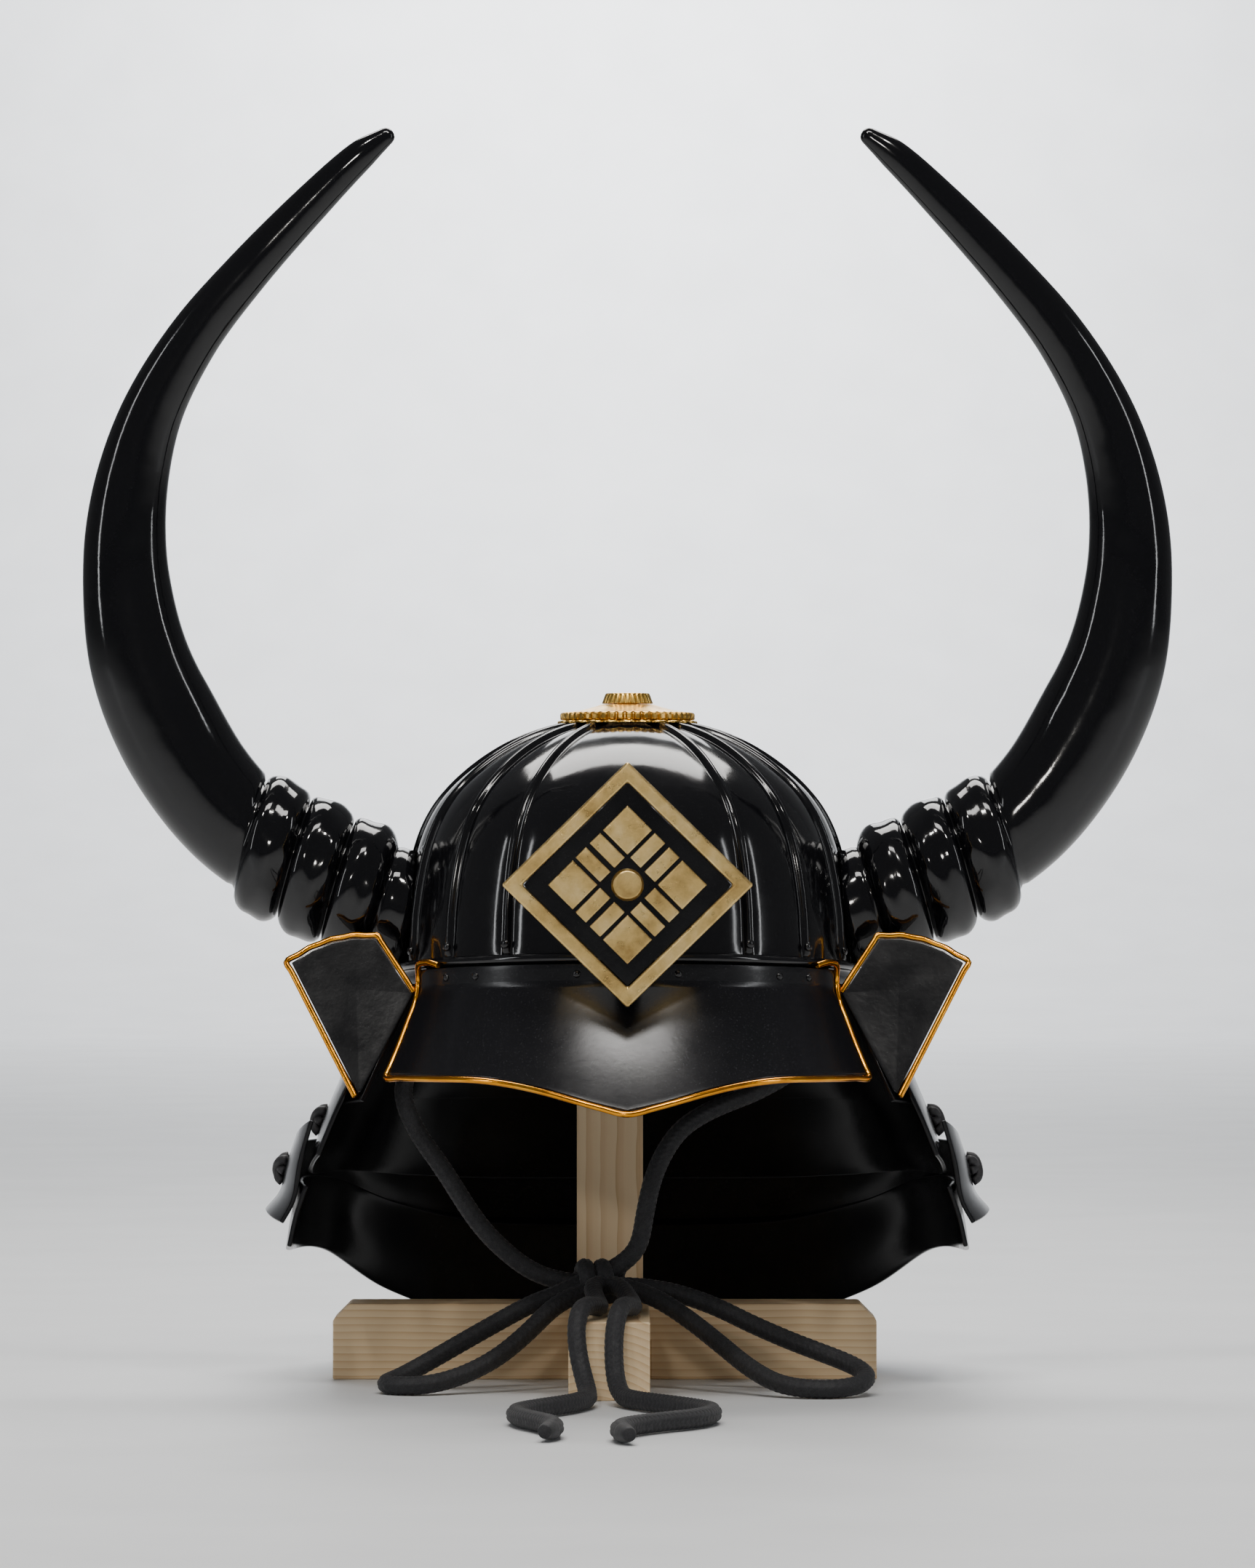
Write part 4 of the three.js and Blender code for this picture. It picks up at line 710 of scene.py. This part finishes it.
# small domed rivets: at the ribs' feet, on the visor's flange and at the second plate's front corners
def dome(at, normal, r, h):
    a = unit(np.cross(normal, [0.3, 0.2, 0.93]))
    b = np.cross(normal, a)
    rings = []
    for k in range(6):
        t = k / 5 * math.pi / 2
        rr, hh = r * math.cos(t) + 0.02, h * math.sin(t)
        rings.append([at + normal * hh + (a * math.cos(q) + b * math.sin(q)) * rr for q in np.arange(14) / 14 * 2 * math.pi])
    rings.insert(0, [at - normal * 0.8 + (a * math.cos(q) + b * math.sin(q)) * r for q in np.arange(14) / 14 * 2 * math.pi])
    return ring_faces(np.array(rings))


domes = []
for a in RIDGE_ANGLES + [-a for a in RIDGE_ANGLES]:
    p, q = np.array(foot_point(a, 7.2, RIDGE_H - 0.5)), np.array(foot_point(a, 7.2, RIDGE_H + 1))
    domes.append(dome(p, unit(q - p), 2.3, 1.5))
for a in (-49, -39, 39, 49, -12, 12):
    p, q = visor_point(a, 0.075), np.array(foot_point(a, 0, 30))
    n = np.array(foot_point(a, 0, 10)) - np.array(foot_point(a, 0, 0))
    domes.append(dome(p, unit(n), 1.9, 1.3))
g = plate_grid(PLATES["neck_plate_2"])
nrm = grid_normals(g, (0, 0, 100))
for i in (3, -4):
    domes.append(dome(g[i, -3], nrm[i, -3], 1.5, 1.0))
piece("rivets", join(domes), M_LACQUER, [], merge=False)

# ------------------------------------------------------------------ horns
AX = spline([(p[0], p[1] + HORN_Y, p[2]) for p in HORN_AXIS], 24)
TAN = np.gradient(AX, axis=0)
TAN /= np.linalg.norm(TAN, axis=1)[:, None]
W_I = list(range(len(HORN_AXIS)))
W_V = [p[3] for p in HORN_AXIS]


def in_bowl(p):
    e = math.hypot(p[0], p[1] / DEPTH_RATIO)
    if p[2] < bead_z(p[1]) + 2.6:
        return e < 113.6
    lean = min(1.0, max(0.0, (275 - p[2]) / 75))
    z0 = p[2] + BEAD_SLOPE * p[1] * lean * lean * (3 - 2 * lean)
    return z0 < 318 and e < bowl_r(max(203.0, z0)) + 0.9


def horn(side):
    a = np.array([HORN_RINGS[0][0], HORN_Y, HORN_RINGS[0][1]])
    c = np.array([HORN_RINGS[1][0], HORN_Y, HORN_RINGS[1][1]])
    d = unit(c - a)
    pitch = np.linalg.norm(c - a) / 2
    st = [(a + d * s, d, r * 0.97, r) for s, r in ((-36, 28.4), (-30, 28.8), (-24, 29), (-18, 29), (-15.2, 28.8), (-13.6, 28.2), (-12.4, HORN_GROOVE_R))]
    for k in range(3):
        for q in np.linspace(-0.47, 0.47, 15):
            r = HORN_GROOVE_R + (HORN_RING_R - HORN_GROOVE_R) * (1 - (2 * abs(q)) ** 2.7) ** 0.5
            st.append((a + d * (k + q) * pitch, d, r * 0.97, r))
        st.append((a + d * (k + 0.5) * pitch, d, HORN_GROOVE_R * 0.95, HORN_GROOVE_R - 0.4))
    first = 4.66
    total = len(HORN_AXIS) - 1
    for k in range(105):
        t = first + (k / 104) * (total - first)
        at = t * 24
        i = min(len(AX) - 2, int(at))
        f = at - i
        p = AX[i] * (1 - f) + AX[i + 1] * f
        tan = unit(TAN[i] * (1 - f) + TAN[i + 1] * f)
        w = column(W_I, W_V, t) / 2
        ease = min(1.0, k / 7)
        w = (HORN_GROOVE_R + 0.6) * (1 - ease ** 0.5) + w * ease ** 0.5
        flat = HORN_FLAT + 0.12 * max(0, 1 - k / 30)
        st.append((p, tan, w * flat, w))
    p, tan, ry, rn = st[-1]
    for s, f in ((1.4, 0.86), (2.4, 0.62), (3.0, 0.3), (3.1, 0.05)):
        st.append((p + tan * s, tan, ry * f, rn * f))
    rings = []
    for k, (p, tan, ry, rn) in enumerate(st):
        ya = unit(np.array([0, 1, 0]) - tan * tan[1])
        na = np.cross(tan, ya)
        lean = min(1.0, max(0.0, 1 - (k - 55) / 24))
        na = unit(na * (1 - lean) + lean * np.array([-math.sin(HORN_TILT * DEG), 0, math.cos(HORN_TILT * DEG)]))
        ring = []
        for j in range(44):
            b = j / 44 * 2 * math.pi
            lump = 1 + (0.012 * math.sin(3 * b + k * 0.7) + 0.009 * math.sin(5 * b - k * 0.45)) * (1 if 6 < k < 56 else 0)
            q = p + na * rn * math.cos(b) * lump + ya * ry * math.sin(b) * lump
            if k < 24:
                n = 0
                while in_bowl(q) and n < 200:
                    q = q + d * 0.4
                    n += 1
            ring.append((side * q[0], q[1], q[2]))
        rings.append(ring)
    return ring_faces(np.array(rings))


for side, word in ((-1, "left"), (1, "right")):
    piece("horn_" + word + "_surface", horn(side), M_HORN, ["horn_" + word], merge=False)


# ------------------------------------------------------------------ crown ornament
def turned(profile, n, shape):
    """Closed profile turned round, shape(r, z, k) giving the radius of column k."""
    rings = np.array([[(shape(r, z, k) * math.sin(k / n * 2 * math.pi), -shape(r, z, k) * math.cos(k / n * 2 * math.pi), z) for r, z in profile] for k in range(n)])
    return ring_faces(np.concatenate([rings, rings[:1]], 0), caps=False)


lobes = 24 * 8
piece("crown_base_plate_surface", turned([(8, 320.9), (15, 320.7), (22, 320.3), (28, 319.2), (31.4, 318.6), (33.0, 318.5), (33.8, 318.1), (34, 317.6), (33.8, 317.2), (33, 317.0), (26, 318.4), (15, 319.7), (8, 319.8)], lobes, lambda r, z, k: r * (1 - (0.055 * (1 - abs(math.cos(k / 8 * math.pi)) ** 0.55) if r > 30 else 0))), M_CROWN, ["crown_base_plate"], sharp=45)
teeth = 48 * 8
piece("crown_toothed_ring_surface", turned([(8, 326.4), (12.4, 326.4), (13.2, 326.2), (14.6, 325.7), (17.5, 324.9), (20, 324.2), (23, 323.5), (27, 322.95), (30.4, 322.6), (31.6, 322.4), (32.3, 322.0), (32.6, 321.4), (32.6, 319.3), (32.2, 318.9), (31, 319.0), (22, 320.8), (8, 321.2)], teeth, lambda r, z, k: r - (1.5 if (k % 8) in (5, 6) and r > 30.8 else (0.5 if (k % 8) in (4, 7) and r > 30.8 else 0))), M_WING, ["crown_toothed_ring"], sharp=40)
flutes = 26 * 8
piece("crown_cap_surface", turned([(6.5, 331.9), (9.6, 331.9), (10.3, 331.8), (10.75, 331.4), (11.0, 330.9), (12.3, 327.3), (12.4, 326.95), (12.2, 326.75), (6.5, 326.75)], flutes, lambda r, z, k: r - (0.6 * (1 - abs(math.cos(k / 8 * math.pi)) ** 0.7) if 10.5 < r else 0)), M_CROWN, ["crown_cap"], sharp=50)

# ------------------------------------------------------------------ crest, stand, anchors
from_node("crest_frame", M_BRASS, 1.3, 3)
from_node("crest_ground", M_SATIN, 0.2, 1)
from_node("crest_boss", M_BRASS, 0.5, 3)
for n in sorted(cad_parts):
    if n.startswith("crest_tile"):
        from_node(n, M_BRASS, 0.3, 2)
from_node("crest_bracket", M_LACQUER, 0.5, 2)
from_node("stand_front_bar", M_BAR, 0.9, 3)
from_node("stand_cross_bar", M_PLANK, 0.9, 3)
from_node("stand_post", M_POST, 0.8, 2)
from_node("stand_head", M_POST, 0.8, 2)
for w in ("left", "right"):
    from_node("cord_anchor_" + w, M_SATIN, 0.8, 3)

# ------------------------------------------------------------------ floor, backdrop and light
m_floor, nt, b, at = shader("pale_floor")
nt.links.new(ramp(nt, noise(nt, at, 9, 4), [(0.3, (0.66, 0.67, 0.68)), (0.7, (0.71, 0.72, 0.73))]), b.inputs["Base Color"])
b.inputs["Roughness"].default_value = 0.55
prof = [(-9.0, 0.0), (5.8, 0.0)]
prof += [(5.8 + 2.6 * math.sin(a * DEG), 2.6 - 2.6 * math.cos(a * DEG)) for a in range(5, 91, 5)]
prof += [(8.4, 8.0)]
verts = [(x, y, z) for y, z in prof for x in (-9.0, 9.0)]
faces = [(2 * i, 2 * i + 1, 2 * i + 3, 2 * i + 2) for i in range(len(prof) - 1)]
me = bpy.data.meshes.new("sweep")
me.from_pydata(verts, [], faces)
for f in me.polygons:
    f.use_smooth = True
me.materials.append(m_floor)
sweep = bpy.data.objects.new("sweep", me)
bpy.context.scene.collection.objects.link(sweep)


def area(name, at, target, size, power, colour=(1, 1, 1)):
    l = bpy.data.lights.new(name, "AREA")
    l.shape = "RECTANGLE"
    l.size, l.size_y = size
    l.energy = power
    l.color = colour
    o = bpy.data.objects.new(name, l)
    o.location = at
    o.rotation_euler = (Vector(target) - Vector(at)).to_track_quat("-Z", "Y").to_euler()
    bpy.context.scene.collection.objects.link(o)
    return o


area("key", (0.0, 1.0, 2.05), (0, 0, 0.3), (1.7, 0.7), 40, (1, 0.98, 0.95))
area("top_front", (0.0, -0.9, 1.95), (0, -0.1, 0.2), (0.8, 0.3), 12, (1, 0.98, 0.95))
area("strip_left", (-1.7, -0.7, 0.8), (0, 0, 0.35), (0.1, 1.2), 4, (0.96, 0.98, 1))
area("strip_right", (1.7, -0.7, 0.8), (0, 0, 0.35), (0.1, 1.2), 4, (0.96, 0.98, 1))
area("lamp_left", (-0.6, -1.3, 1.95), (0, 0, 0.22), (0.12, 0.12), 7, (1, 0.97, 0.92))
area("lamp_right", (0.6, -1.3, 1.95), (0, 0, 0.22), (0.12, 0.12), 7, (1, 0.97, 0.92))
area("low_front", (-0.35, -2.6, 1.0), (0, 0, 0.2), (0.16, 0.16), 6, (1, 0.96, 0.9))
area("back", (0, 6.9, 3.0), (0, 8.3, 1.2), (1.2, 0.8), 190, (0.97, 0.98, 1))
area("back_floor", (0, 4.2, 2.6), (0, 4.4, 0), (1.6, 3.0), 75, (0.98, 0.99, 1))
world = bpy.data.worlds.new("room")
bpy.context.scene.world = world
world.use_nodes = True
bg = world.node_tree.nodes["Background"]
bg.inputs["Color"].default_value = (0.97, 0.98, 1.0, 1)
bg.inputs["Strength"].default_value = 0.13
